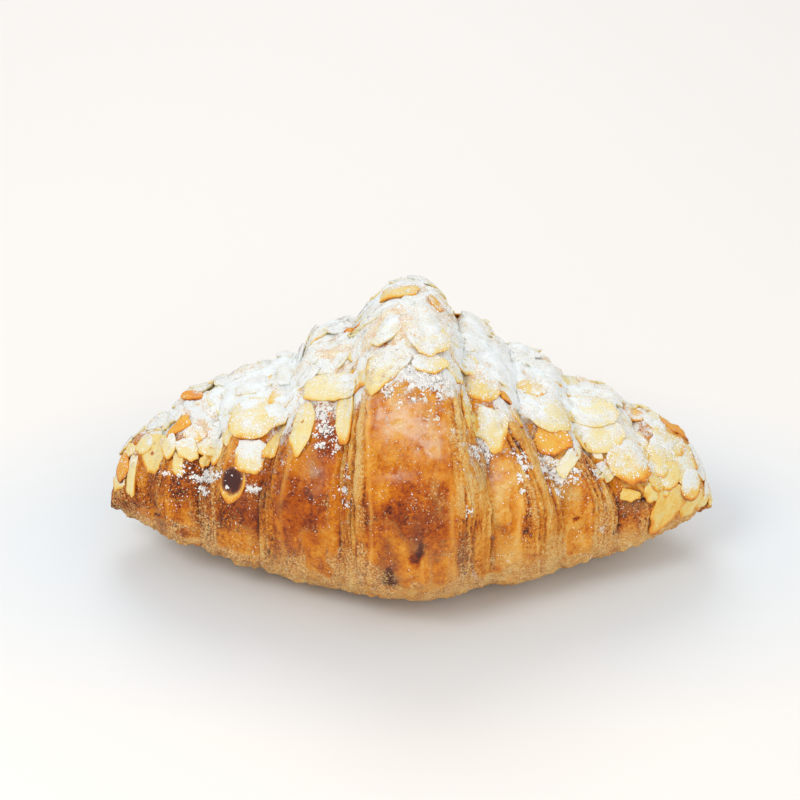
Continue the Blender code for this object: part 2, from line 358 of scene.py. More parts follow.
# Colour for a value: straight mixes between stops, each a value and a colour
def colourRamp(tree, value, stops):
    node = addNode(tree, "ShaderNodeValToRGB")
    elements = node.color_ramp.elements
    while len(elements) < len(stops):
        elements.new(0.5)
    for element, (place, colour) in zip(elements, stops):
        element.position = place
        element.color = hexColour(colour)
    tree.links.new(value.socket, node.inputs["Fac"])
    return node.outputs["Color"]


# First colour at factor 0, second at factor 1; a colour is a socket or is written as RRGGBB
def mixColour(tree, factor, first, second):
    node = addNode(tree, "ShaderNodeMix", data_type="RGBA")
    tree.links.new(factor.socket, node.inputs[0])
    for entry, colour in ((node.inputs[6], first), (node.inputs[7], second)):
        if isinstance(colour, str):
            entry.default_value = hexColour(colour)
        else:
            tree.links.new(colour, entry)
    return node.outputs[2]


# A material with a Principled shader, and that shader's constants by their socket names
def newMaterial(name, constants):
    material = bpy.data.materials.new(name)
    material.use_nodes = True
    shader = material.node_tree.nodes["Principled BSDF"]
    for key, value in constants.items():
        shader.inputs[key].default_value = value
    return material, material.node_tree, shader


# Colour, roughness and a bump of the given strength and depth, joined to the shader
def finishShader(tree, shader, colour, rough=None, height=None, strength=0.0, depth=0.0):
    tree.links.new(colour, shader.inputs["Base Color"])
    if rough is not None:
        tree.links.new(rough.socket, shader.inputs["Roughness"])
    if height is not None:
        bump = addNode(tree, "ShaderNodeBump")
        bump.inputs["Strength"].default_value = strength
        bump.inputs["Distance"].default_value = depth
        tree.links.new(height.socket, bump.inputs["Height"])
        tree.links.new(bump.outputs["Normal"], shader.inputs["Normal"])


powderFinish = dict(
    # colours of the powder from its shaded hollows to its lit tops; grains have no hollows
    grainStops=((0.37, "ECD6B4"), (0.45, "F7EFE0"), (0.54, "FFFDFA")),
    driftStops=((0.37, "D8B484"), (0.44, "E6DCC2"), (0.51, "E8EDE9"), (0.60, "EFF5F8")),
    tone=((2900, 2.0, 0.6, 0.65), (260, 3.0, 0.5, 0.55)),     # cells in a metre, detail, roughness, amount
    maskNoises=((3200, 0.90), (1400, 0.80), (360, 1.20)),     # cells in a metre, amount
    maskFrom=0.84, maskRise=1.9,
    crustStops=((0.38, "DDA55C"), (0.56, "E8C88E"), (0.66, "ECDAAE")),    # crust that shows in specks
    grainRoughness=0.82, specular=0.3, bumpStrength=0.6, bumpDepth=0.35 * mm,
)


# Powder mask: separate specks where the sugar value is low, closed cover where it is high; the
# value is the sum of three noises of falling size and the sugar value, less a threshold
def sugarMask(tree, sugar, sharp=4.0, noises=powderFinish["maskNoises"]):
    total = sugar * powderFinish["maskRise"]
    for cells, amount in noises:
        total = total + (noiseValue(tree, cells, 2.0, rough=0.6) - 0.5) * amount
    return ((total - powderFinish["maskFrom"]) * sharp).clamped()


# Colour of the icing sugar: fine grains and slow clouds added up, from warm shade through cream
# to white; also the sum itself
def powderTone(tree, stops):
    fine, clouds = [noiseValue(tree, cells, detail, rough=rough) * amount
                    for cells, detail, rough, amount in powderFinish["tone"]]
    return colourRamp(tree, fine + clouds, stops), fine + clouds


crustFinish = dict(
    bakeStops=((0.0, "F0CC86"), (0.2, "E3A94E"), (0.36, "DD922A"), (0.5, "CF7808"), (0.64, "B95A03"),
               (0.78, "903A06"), (0.9, "602610"), (1.0, "341612")),
    # noises that move the bake value: cells in a metre, detail, amount on gloss, more on matt
    bakeNoise=((95, 3.0, 0.36, 0.0), (330, 3.0, 0.38, 0.0), (1300, 2.0, 0.28, 0.42), (3000, 1.0, 0.24, 0.44)),
    # spots with crisp edges: cells in a metre, noise level they start at, how dark on gloss, more on matt;
    # on matt crust partly painted shade between crumbs and painted light on crumb tops
    flecksAndCrumbShade=((430, 0.56, 0.09, 0.0), (760, 0.57, 0.08, 0.10), (610, 0.60, -0.12, -0.04),
            (1700, 0.56, 0.05, 0.16), (900, 0.56, 0.0, 0.16), (1250, 0.58, 0.0, -0.22)),
    fleckSharp=16, streakCells=(210, 9, 1), streaks=(0.06, 0.85),    # streaks: amount, and more on strips
    # the glazing colour and its share also paint a soft sheen on the glossy wrap
    paleLayer="EFB354", glazeSheenColour="EECDB2", scorchColour="713C2C", powderTint="F6EAD8",
    mattColour="D6AA74", dustColour="F0C684", glazeSheenShare=0.55, dustShare=0.78,
    glossRoughness=0.19, mattRoughness=0.70, sugarRoughness=0.92, specular=0.22,
    bumpStrength=0.75, bumpDepth=0.5 * mm,
)


# Baked crust: the bake value, moved by noises, by crisp spots (on matt crust partly painted shade
# between crumbs and painted light on their tops) and by streaks along the layers, through a row of
# browns; over it pale layer edges by their attribute, and scorched places, dull tan low down, a
# thin glazing that also carries a painted sheen, cream specks and icing sugar, each by its
# attribute joined with a noise
def crustMaterial():
    finish = crustFinish
    material, tree, shader = newMaterial("bakedCrust", {"Specular IOR Level": finish["specular"]})
    uv = addNode(tree, "ShaderNodeUVMap", uv_map="UVMap").outputs["UV"]
    matt, sugar = readValue(tree, "matt"), readValue(tree, "sugar")
    streaks = noiseValue(tree, 1.0, 3.0, uv, 0.6, finish["streakCells"]) - 0.5
    streaks = streaks * (readValue(tree, "strip") * finish["streaks"][1] + finish["streaks"][0])
    bake = readValue(tree, "bake") + streaks
    for cells, detail, amount, more in finish["bakeNoise"]:
        freckles = noiseValue(tree, cells, detail, rough=0.6)
        bake = bake + (freckles - 0.5) * (matt * more + amount)
    # on matt crust the dark spots are partly painted shade between crumbs and the pale ones painted light on
    # crumb tops
    for cells, above, dark, moreDark in finish["flecksAndCrumbShade"]:
        fleck = ((noiseValue(tree, cells, 4.0, rough=0.6) - above) * finish["fleckSharp"]).clamped()
        bake = bake + fleck * (matt * moreDark + dark)
    patches = noiseValue(tree, 420, 5.0)
    scorch = (readValue(tree, "scorch") * (patches + 0.15)).clamped()
    dull = (readValue(tree, "dull") * (patches + 0.1)).clamped()
    # painted sheen: the pale glazing also stands in for soft highlights on the glossy wrap
    glazeSheen = (readValue(tree, "glazeSheen") * (patches * 3.0 + freckles * 1.2 - 1.65)).clamped()
    glazeSheen = (glazeSheen * 1.8).clamped()
    specks = noiseValue(tree, 2000, 1.0) + readValue(tree, "dust") * 0.34
    specks = ((specks - 0.65) * 9.0).clamped()
    mask = sugarMask(tree, sugar)
    thin = (1.25 - sugar * 1.6).clamped()
    powder = mixColour(tree, thin, powderTone(tree, powderFinish["driftStops"])[0], finish["powderTint"])
    colour = colourRamp(tree, bake, finish["bakeStops"])
    for share, over in ((readValue(tree, "edge"), finish["paleLayer"]), (scorch, finish["scorchColour"]),
                        (dull, finish["mattColour"]), (glazeSheen * finish["glazeSheenShare"], finish["glazeSheenColour"]),
                        (specks * finish["dustShare"], finish["dustColour"]), (mask, powder)):
        colour = mixColour(tree, share, colour, over)
    gloss = finish["glossRoughness"]
    rough = matt * (finish["mattRoughness"] - gloss) + freckles * 0.3 + (gloss - 0.12)
    rough = rough.orMore(mask * finish["sugarRoughness"])
    height = streaks * 1.2 + freckles * (matt * 0.7 + 0.2) + patches * 1.5 + mask.orMore(specks) * 0.5
    finishShader(tree, shader, colour, rough, height, finish["bumpStrength"], finish["bumpDepth"])
    return material


crustDetail = dict(
    stations=440, endWrap=4.985, lowSteps=18, highSteps=200,
    lowReach=56,      # degrees to each side of the base
    rollRadius=38,    # mm, for the sizes round the roll
    # where on each wrap the strip of bare layer edges starts, and how many layers it shows
    stripFrom={-1: (0.61, 0.74, 0.66, 0.62, 0.72), 1: (0.49, 0.40, 0.52, 0.56, 0.70)},
    stripLayers={-1: (5, 4, 4, 3, 2), 1: (5, 4, 4, 3, 2)},
    layerSlant={-1: (0, 0.25, 0.25, 0.25, 0.25), 1: (0, 1.0, 1.0, 1.0, 1.0)},    # layers in 60 degrees
    layerHeight=0.80 * mm, lipHeight=0.35 * mm,
    blisterHeight=0.9 * mm, crackDepth=0.4 * mm, wrinkleHeight=0.4 * mm, grainHeight=0.14 * mm,
    crumbHeight=1.2 * mm, crumbDepth=1.3 * mm, ledgeHeight=0.45 * mm, peelDepth=0.22 * mm,
    peelRimHeight=0.10 * mm, burntDepth=0.35 * mm, fadeBelow=14 * mm,
    # bake by height: degrees up from the base, and how dark
    bakeAngles=(0, 55, 66, 76, 90, 103, 118, 135, 155, 180),
    bakeValues=(0.50, 0.46, 0.34, 0.37, 0.52, 0.54, 0.42, 0.36, 0.34, 0.32),
    # darker and paler patches: x mm, degrees, size along and round in mm, how much darker
    patches=(
        # middle wrap and the strips beside it
        (-1, 94, 5.5, 5, 0.34), (-5.5, 84, 2.2, 7, 0.28), (-3, 100, 7, 4, 0.12), (5, 99, 3, 5, 0.08),
        (0, 107, 8, 5, -0.02), (4, 79, 6, 4, -0.06), (-7, 103, 2.5, 5, -0.20), (1.2, 94, 2.6, 5, 0.14),
        (2, 132, 2, 1.6, 0.22), (-6, 125, 1.6, 1.4, 0.20), (0, 117, 5, 1.2, 0.10), (-5.5, 80, 2.8, 5, 0.16),
        (1, 80, 9, 4, 0.24), (6, 104, 5, 10, 0.04), (0, 110, 8, 4, 0.10), (0, 116, 8, 4, 0.09),
        (12.2, 88, 1.6, 3, 0.16), (13, 86, 1.6, 4, 0.22), (14, 108, 3, 9, -0.12), (-14, 84, 2, 5, 0.10),
        # left wraps
        (-41, 100, 5, 8, 0.30), (-40, 114, 4, 5, 0.26), (-22, 132, 3, 12, 0.26), (-27, 104, 4, 10, 0.06),
        (-24, 90, 4, 5, 0.05), (-60, 99, 7, 6, -0.15), (-74, 94, 6, 8, 0.24), (-56, 118, 6, 4, 0.12),
        (-45, 80, 12, 5, 0.06), (-48, 84, 9, 4, -0.06), (-43, 94, 7, 7, -0.10), (-24, 108, 3, 6, 0.12),
        (-48, 92, 3, 4, 0.10), (-35, 76, 20, 4, -0.05),
        # right wraps
        (27, 136, 3, 5, 0.26), (28, 96, 2, 4, 0.16), (45, 124, 3, 9, 0.20), (24, 110, 4, 12, -0.18),
        (46, 100, 4, 8, -0.08), (57, 94, 7, 8, 0.32), (46, 86, 8, 4, -0.06), (35, 112, 3, 10, -0.08),
        (21, 106, 6, 9, -0.20), (20, 80, 6, 6, -0.12), (52, 90, 8, 6, -0.06), (18, 128, 3, 7, 0.18),
        (23.5, 103, 1.1, 6, 0.12), (23, 95, 1.5, 2.5, 0.24), (29, 115, 0.9, 6, 0.24), (34, 120, 0.8, 8, 0.22),
        (36, 97, 1.0, 5, 0.14), (35, 88, 14, 4, -0.10),
    ),
    marks=((-60.5, 85, 2.0, 0.7, 0.24), (-60, 107, 1.8, 1.6, 0.26)),    # the same, over everything else
    # purple-brown scorched places: x mm, degrees, size along and round in mm, strength
    scorched=(
        (-5.8, 83, 1.9, 6, 1.3), (-5.4, 75, 2.4, 3, 1.3), (1.2, 93, 2.0, 4, 0.9), (4, 99, 5, 2, 0.5),
        (12.2, 88, 1.2, 3, 0.9), (-25, 122, 2, 6, 0.9), (-41, 103, 5, 7, 0.5), (-52, 110, 3, 3, 0.7),
        (22, 96, 1.2, 1.6, 0.9), (17, 122, 1.4, 6, 0.7), (33, 128, 3, 3, 0.7), (57, 103, 4, 4, 0.6),
        (-74, 97, 3, 3, 0.7), (40, 116, 2.5, 4, 0.5), (-30, 255, 3, 5, 0.6), (16, 262, 3, 6, 0.6),
    ),
    # burnt blisters: x mm, degrees, size along and round in mm
    burnt=(
        (0.9, 86.5, 1.7, 1.5), (2.2, 89, 0.8, 1.2), (-5.3, 74.5, 2.0, 2.3), (-5.6, 80, 1.2, 2.4),
        (42, 98, 1.1, 1.1), (52, 85, 1.0, 1.2), (60, 103, 0.9, 0.9), (-66, 88, 0.8, 0.6),
        (30, 262, 1.4, 1.2), (-14, 268, 1.2, 1.3), (-38, 250, 1.0, 1.2),
    ),
    # thin pale glazing with a painted sheen over it: x mm, degrees, size along and round in mm, strength
    glazeAndSheen=(
        (-4, 135, 7, 3.0, 1.2), (1, 128.5, 6.5, 2.4, 1.2), (4, 122, 4, 2.0, 1.0), (-3.5, 113, 4, 1.2, 0.55),
        (20, 120, 3, 4, 0.7), (-24, 118, 2.5, 4, 0.4),
    ),
    crumb=(57.5, 103, 4.6, 6.5),    # torn crumb at the right end: x mm, degrees, size along and round
    # places where the shiny skin has come off in a flat panel: x mm, degrees, half size along and round
    peeled=(
        (-23.8, 83, 3.4, 6.5), (7, 81, 2.6, 5.5), (17.8, 85, 2.4, 6), (-45.5, 83, 4, 4), (43, 84, 3, 5),
        (-61, 95, 4.6, 5.2), (-2, 76, 1.6, 3), (-70, 86, 3, 3), (26, 104, 1.6, 8), (46, 96, 2.2, 5),
    ),
    # places where sugar has gathered on bare crust: x mm, degrees, size along and round, how much
    dusted=(
        (-56, 116, 4, 5, 0.08), (-22, 140, 3, 7, 0.16), (3, 146, 8, 3.5, 0.26), (18.5, 130, 2, 5, 0.16),
        (32, 130, 6, 5, 0.20), (-39.5, 106, 1.8, 1.4, 0.16), (37, 122, 4, 4, 0.20), (51, 130, 4, 4, 0.2),
        (-22, 118, 3, 8, 0.08), (-36, 113, 1.6, 1.6, 0.14), (-66, 106, 7, 6, -0.14), (-48, 99, 8, 5, -0.14),
    ),
)


# Millimetres round the roll from a place at the given angle: the arc of a circle
def roundGap(degrees, angle):
    return np.radians(np.mod(degrees - angle + 180, 360) - 180) * crustDetail["rollRadius"]


# Degrees for a number of millimetres round the roll
def degreesRound(arc):
    return np.degrees(arc / crustDetail["rollRadius"])


# Bell of height 1 round a place on the crust, with its sizes along and round the roll in mm
def bell(x, degrees, place, angle, sizeAlong, sizeRound):
    return np.exp(-((x / mm - place) / sizeAlong) ** 2 - (roundGap(degrees, angle) / sizeRound) ** 2)


# Sum of the bells in a table, each times the amount that ends its row
def bells(x, degrees, table):
    return sum(amount * bell(x, degrees, *place) for *place, amount in table)


# Strips of bare layer edges: past its start each wrap is cut into layers, whose count leans with
# the height and wanders with noise; each layer rises to a ridge and falls again, and its
# strength, uneven by noise, is less low down, near the top and where the crust is sandy
def layerStrips(wrap, x, up, points):
    detail = crustDetail
    side = np.where(wrap < 0, -1, 1)
    index, part = wrapParts(wrap)
    pick = lambda table: np.where(side < 0, np.array(table[-1])[index], np.array(table[1])[index])
    wander = 0.06 * smoothNoise(points, 12 * mm, 3) + 0.02 * smoothNoise(points, 3 * mm, 4)
    start = pick(detail["stripFrom"]) + wander
    past = part - start
    layer = np.clip(past, 0, 1) / (1 - start) * pick(detail["stripLayers"])
    layer += pick(detail["layerSlant"]) * (up - 110) / 60
    layer += 0.38 * smoothNoise(points * (1, 0.16, 0.16), 6 * mm, 5)
    layer += 0.10 * smoothNoise(points * (1, 0.5, 0.5), 4 * mm, 6)
    layer += 0.38 * np.sin(2 * np.pi * layer / 2.4 + 1.7 * index + side)
    number = np.floor(layer)[..., None]
    saw = layer - number[..., 0]
    ridge = ease(saw / 0.45) * (1 - ease((saw - 0.72) / 0.28))
    apart = points + 0.013 * number    # noise at these points differs from layer to layer
    tone = smoothNoise(points * (1, 0.3, 0.3) + 0.031 * number, 7 * mm, 12)
    sandy = np.clip(1.1 * ease((-x / mm - 38) / 14) + 0.5 * ease((x / mm - 30) / 20), 0, 1)
    uneven = 0.75 + 0.5 * smoothNoise(points, 6 * mm, 8) + 0.75 * smoothNoise(apart, 5 * mm, 9)
    rising = np.where((side > 0) & (index > 0), ease((up - 74) / 28), ease((up - 62) / 26))
    strength = np.clip(uneven, 0.05, 1.6) * (1 - 0.8 * ease((up - 138) / 16)) * (0.2 + 0.8 * rising)
    return past, ridge, strength * (1 - 0.6 * sandy), sandy, apart, tone, index == 0


# Where the shiny skin has come off: inside the panels, frayed by noise, and where a slow noise is
# high, less so low down and on strips; also a bell along the rim of each such place
def peelShares(x, degrees, up, inStrip, points):
    slow = roughNoise(points * (1, 0.55, 0.55), 8 * mm, 111, 2)
    peel = slow - 0.3 * ease((80 - up) / 10) - 0.5 * inStrip - 0.36
    frayed = 1 + 0.35 * smoothNoise(points, 3 * mm, 113)
    for place, angle, halfAlong, halfRound in crustDetail["peeled"]:
        along, around = (x / mm - place) / halfAlong, roundGap(degrees, angle) / halfRound
        peel = np.maximum(peel, (frayed - np.maximum(np.abs(along), np.abs(around))) * 0.5)
    return ease(peel / 0.08), np.exp(-(peel / 0.05) ** 2)


# Fine form and finish of the crust: layers on each wrap's strip, blisters, wrinkles, cracks, torn
# crumb and burnt spots add up to a height outward; beside it the values of the finish, each a sum
# of shares of those forms, of bells at given places and of noises
def crustFinishing(wrap, angle, points):
    detail = crustDetail
    x, degrees, up = points[..., 0], np.degrees(np.mod(angle, 2 * np.pi)), degreesUp(angle)
    past, ridge, strength, sandy, apart, layerTone, inMiddle = layerStrips(wrap, x, up, points)
    inStrip = ease(past / 0.08)
    tread = 1 - inStrip
    lip = np.exp(-((past + 0.02) / 0.035) ** 2) * strength
    blister = np.clip(roughNoise(points, 5 * mm, 21) - 0.1, 0, 1) * tread
    wrinkle = roughNoise(points * (0.4, 1, 1), 2.6 * mm, 25) * tread * ease((up - 95) / 20)
    crack = np.exp(-(roughNoise(points * (0.5, 1, 1), 7 * mm, 31) / 0.03) ** 2)
    crack = crack * np.clip(smoothNoise(points, 12 * mm, 33) + 0.15, 0, 1)
    peel, peelRim = peelShares(x, degrees, up, inStrip, points)
    crumb = bell(x, degrees, *detail["crumb"])
    crumb = ease(crumb * 2.4 - 0.6 + 0.4 * roughNoise(points, 3 * mm, 35))
    burnt = [ease(bell(x, degrees, *place) * 2.0 - 0.4 + 0.35 * roughNoise(points, 1.2 * mm, 61))
             for place in detail["burnt"]]
    charred = np.max(burnt, axis=0)
    grains = roughNoise(points, 1.5 * mm, 41) * (0.7 + inStrip + 1.5 * sandy + 1.5 * ease((80 - up) / 14))
    ledges = ease((78 - up) / 10) * roughNoise(points * (0.6, 1, 1), 2.4 * mm, 45)
    height = detail["layerHeight"] * inStrip * strength * ridge + detail["lipHeight"] * lip
    height += detail["blisterHeight"] * blister + detail["wrinkleHeight"] * wrinkle
    height += detail["grainHeight"] * grains + detail["ledgeHeight"] * ledges - detail["crackDepth"] * crack
    height += crumb * (detail["crumbHeight"] * roughNoise(points, 2.4 * mm, 43) - detail["crumbDepth"])
    height += detail["peelRimHeight"] * peelRim - detail["peelDepth"] * peel - detail["burntDepth"] * charred
    # how dark: by height, then patches, layers, panels, crumb, burnt spots, and painted shade in part in
    # the layer grooves, in the cracks and along the seams
    bake = np.interp(up, detail["bakeAngles"], detail["bakeValues"]) + bells(x, degrees, detail["patches"])
    bake += 0.09 * roughNoise(points, 12 * mm, 51) - (0.02 + 0.13 * np.sign(x)) * ease(np.abs(x) / (30 * mm))
    # darker in the grooves between layer ridges: in part a browner bake, in part painted shade in the grooves
    groove = (1 - ridge) * np.clip(0.5 + 1.6 * smoothNoise(apart, 9 * mm, 11), 0, 1)
    bake += inStrip * (strength * (0.46 * groove - 0.22 * ridge) + 0.36 * layerTone + 0.04)
    # darker blisters, painted shade in the cracks, and paler lips and wrinkles
    bake += 0.10 * blister + 0.18 * crack - 0.10 * lip - 0.12 * wrinkle
    bake += 0.07 * sandy * ease((up - 70) / 12)
    bake += 0.30 * ease((80 - up) / 12) * roughNoise(points, 1.8 * mm, 47)
    bake += peel * 0.75 * (0.46 + 0.16 * roughNoise(points, 4 * mm, 58) - bake)
    bake += 0.17 * tread * roughNoise(points * (1, 0.22, 0.22), 3.5 * mm, 55)
    bake += crumb * (0.20 + 0.34 * roughNoise(points, 1.8 * mm, 53))
    bake = np.minimum(bake, 0.70 + 0.07 * roughNoise(points, 3 * mm, 59))
    bake += bells(x, degrees, detail["marks"]) + 0.50 * sum(burnt)
    # painted shade: a dark line along each seam, where the crease between wraps lies in shadow
    seamShadowLine = np.exp(-((wrap - np.round(wrap)) / 0.026) ** 2) * (np.abs(np.round(wrap)) > 0.5)
    bake += 0.30 * seamShadowLine * np.clip(0.7 + 1.2 * smoothNoise(points, 5 * mm, 57), 0, 1)
    # pale edges: of the layers, low down, round the panels and along the fold where a strip starts
    edge = inStrip * ease((ridge - 0.6) / 0.4) * np.clip(strength - 0.3, 0, 1) * 0.28
    edge += 0.3 * ease((72 - up) / 8) * np.clip(0.5 + roughNoise(points, 2 * mm, 73), 0, 1) + 0.30 * peelRim
    fold = np.exp(-((past + 0.02) / np.where(inMiddle, 0.020, 0.026)) ** 2)
    edge += 0.65 * fold * np.clip(0.45 + 1.2 * smoothNoise(points, 6 * mm, 75), 0, 1) * ease((up - 70) / 10)
    low = ease((95 - up) / 20)
    matt = 0.08 + 0.8 * inStrip + low + crumb + 0.8 * sandy + 0.4 * smoothNoise(points, 10 * mm, 71)
    matt = np.clip(matt * (1 - 0.6 * peel), 0, 1)
    dull = np.clip((0.58 * low + 0.08 * inStrip + 0.5 * crumb + 0.06 * sandy) * (1 - 0.7 * peel), 0, 1)
    dust = inStrip * (0.36 * ridge - 0.05 - 0.5 * layerTone) + 0.22 * sandy + 0.52 * low - 0.05
    dust += 0.55 * inStrip * smoothNoise(apart * (1, 0.35, 0.35), 6 * mm, 15)
    dust += 0.45 * roughNoise(points, 5 * mm, 77) - 0.8 * peel
    ragged = 0.8 + 0.9 * roughNoise(points * (1, 0.6, 0.6), 2 * mm, 63)
    # icing sugar: more towards the top, in grooves and in clumps, less at the tips
    sugar = 0.40 * ease((up - 134) / 26) + 0.08 * ease((up - 104) / 22) + 0.21 + 0.04 * inStrip
    sugar += 0.12 * roughNoise(points, 8 * mm, 81) - 0.22 * ease((58 - up) / 20)
    sugar += 0.05 * inStrip * (1 - ridge) * ease((up - 98) / 20)
    sugar -= 0.30 * ease((np.abs(wrap) - 3.9 + 0.5 * smoothNoise(points, 4 * mm, 85)) / 0.8)
    clumps = np.clip(0.6 + 1.3 * roughNoise(points, 2.2 * mm, 83, 2), 0, 2)
    sugar += 0.62 * bells(x, degrees, detail["dusted"]) * clumps
    return height, dict(
        bake=bake, strip=inStrip, matt=matt, sugar=sugar, dust=np.clip(dust, -0.3, 0.6),
        edge=edge * (1 - charred), dull=dull * (1 - charred), glazeSheen=bells(x, degrees, detail["glazeAndSheen"]) * tread,
        scorch=np.clip(bells(x, degrees, detail["scorched"]) * ragged, 0, 1),
    )


# Share of the relief that is left at x, so that it fades where the tips are thin
def reliefShare(x):
    return np.minimum(sectionSize(x)[0] / crustDetail["fadeBelow"], 1)


# The crust mesh: a grid of wraps and angles, coarse under the base and fine above it, with each
# point moved outward by its height; a fan of triangles closes each end
def buildCrust():
    detail = crustDetail
    wraps = np.linspace(-detail["endWrap"], detail["endWrap"], detail["stations"])
    low, high = math.radians(detail["lowReach"]), math.radians(360 - detail["lowReach"])
    angles = np.concatenate([np.linspace(-low, low, detail["lowSteps"], endpoint=False),
                             np.linspace(low, high, detail["highSteps"], endpoint=False)])
    wrapGrid, angleGrid = np.meshgrid(wraps, angles, indexing="ij")
    points = crustPoint(wrapGrid, angleGrid)
    height, values = crustFinishing(wrapGrid, angleGrid, points)
    points = points + gridNormals(points) * (height * reliefShare(points[..., 0]))[..., None]
    points[..., 2] = np.maximum(points[..., 2], 0)
    rows, columns = wrapGrid.shape
    k = np.arange(columns)
    lastRow = (rows - 1) * columns
    leftFan = np.stack([np.full(columns, rows * columns), k, (k + 1) % columns], -1)
    rightFan = np.stack([np.full(columns, rows * columns + 1), lastRow + (k + 1) % columns, lastRow + k], -1)
    faces = gridFaces(rows, columns, True).tolist() + leftFan.tolist() + rightFan.tolist()
    turns = np.append(angles, angles[0] + 2 * np.pi) / (2 * np.pi)
    uvs = np.stack(np.meshgrid((wraps + 5) / 10, turns, indexing="ij"), -1).reshape(-1, 2)
    lastUvRow = (rows - 1) * (columns + 1)    # the UV grid has one column more
    fans = [np.stack([k, k, k + 1], -1).ravel(), lastUvRow + np.stack([k, k + 1, k], -1).ravel()]
    uvs = uvs[np.concatenate([gridFaces(rows, columns + 1, False).ravel(), *fans])]
    tips = np.stack([points[0].mean(0), points[-1].mean(0)])
    points = np.concatenate([points.reshape(-1, 3), tips])
    for key, value in values.items():
        values[key] = np.append(value.ravel(), (value[0].mean(), value[-1].mean()))
    piece = makePiece("croissantCrust", points, faces, crustMaterial(), values, uvs)
    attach(piece, "root")
    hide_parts("croissant")
    print("crust", len(faces), "faces")


flakeFinish = dict(
    toastStops=((0.0, "F2EFD8"), (0.2, "EDE4BA"), (0.38, "ECD58A"), (0.52, "EBBB50"), (0.66, "E89A30"),
                (0.82, "CC7420"), (1.0, "7A3E16")),
    grainCells=(4, 26, 1), grainToast=0.16, blotchToast=0.36, stippleToast=0.34,
    sugarNoises=((2900, 1.20), (1100, 0.60), (380, 0.60)), sugarSharp=2.6, sugarMost=0.94,
    skinColour="4A2622", skinEdge="A5602E", powderTint="F6F1D8",
    roughness=0.42, sugarRoughness=0.92, specular=0.30,
    glow=0.12, glowReaches=(1.0, 0.65, 0.25), glowScale=0.5 * mm, bumpStrength=0.5, bumpDepth=0.25 * mm,
)


# Almond: the toast value, which also holds painted warm shade on rims and undersides, moved by a
# grain along the flake, blotches and stipple, through creams and golds; brown skin where the skin
# value is above those noises; icing sugar, tinted where thin
def almondMaterial():
    finish = flakeFinish
    material, tree, shader = newMaterial("almondFlake", {
        "Specular IOR Level": finish["specular"], "Subsurface Weight": finish["glow"],
        "Subsurface Radius": finish["glowReaches"], "Subsurface Scale": finish["glowScale"]})
    uv = addNode(tree, "ShaderNodeUVMap", uv_map="UVMap").outputs["UV"]
    grain = noiseValue(tree, 1.0, 3.0, uv, 0.6, finish["grainCells"])
    blotches, stipple = noiseValue(tree, 380, 3.0), noiseValue(tree, 2300, 2.0, rough=0.6)
    toast, sugar = readValue(tree, "toast"), readValue(tree, "sugar")
    for noise, amount in ((grain, "grainToast"), (blotches, "blotchToast"), (stipple, "stippleToast")):
        toast = toast + (noise - 0.5) * finish[amount]
    skin = readValue(tree, "skin") - (blotches * 0.7 + stipple * 0.5)
    mask = sugarMask(tree, sugar, finish["sugarSharp"], finish["sugarNoises"]) * finish["sugarMost"]
    thin = (1.15 - sugar * 2.0).clamped()
    powder = mixColour(tree, thin, powderTone(tree, powderFinish["driftStops"])[0], finish["powderTint"])
    colour = colourRamp(tree, toast, finish["toastStops"])
    for share, over in ((((skin + 0.50) * 3.0).clamped(), finish["skinEdge"]),
                        (((skin + 0.18) * 2.6).clamped(), finish["skinColour"]), (mask, powder)):
        colour = mixColour(tree, share, colour, over)
    rough = (grain * 0.2 + finish["roughness"]).orMore(mask * finish["sugarRoughness"])
    height = grain * 0.4 + (mask + stipple + blotches) * 0.5
    finishShader(tree, shader, colour, rough, height, finish["bumpStrength"], finish["bumpDepth"])
    return material


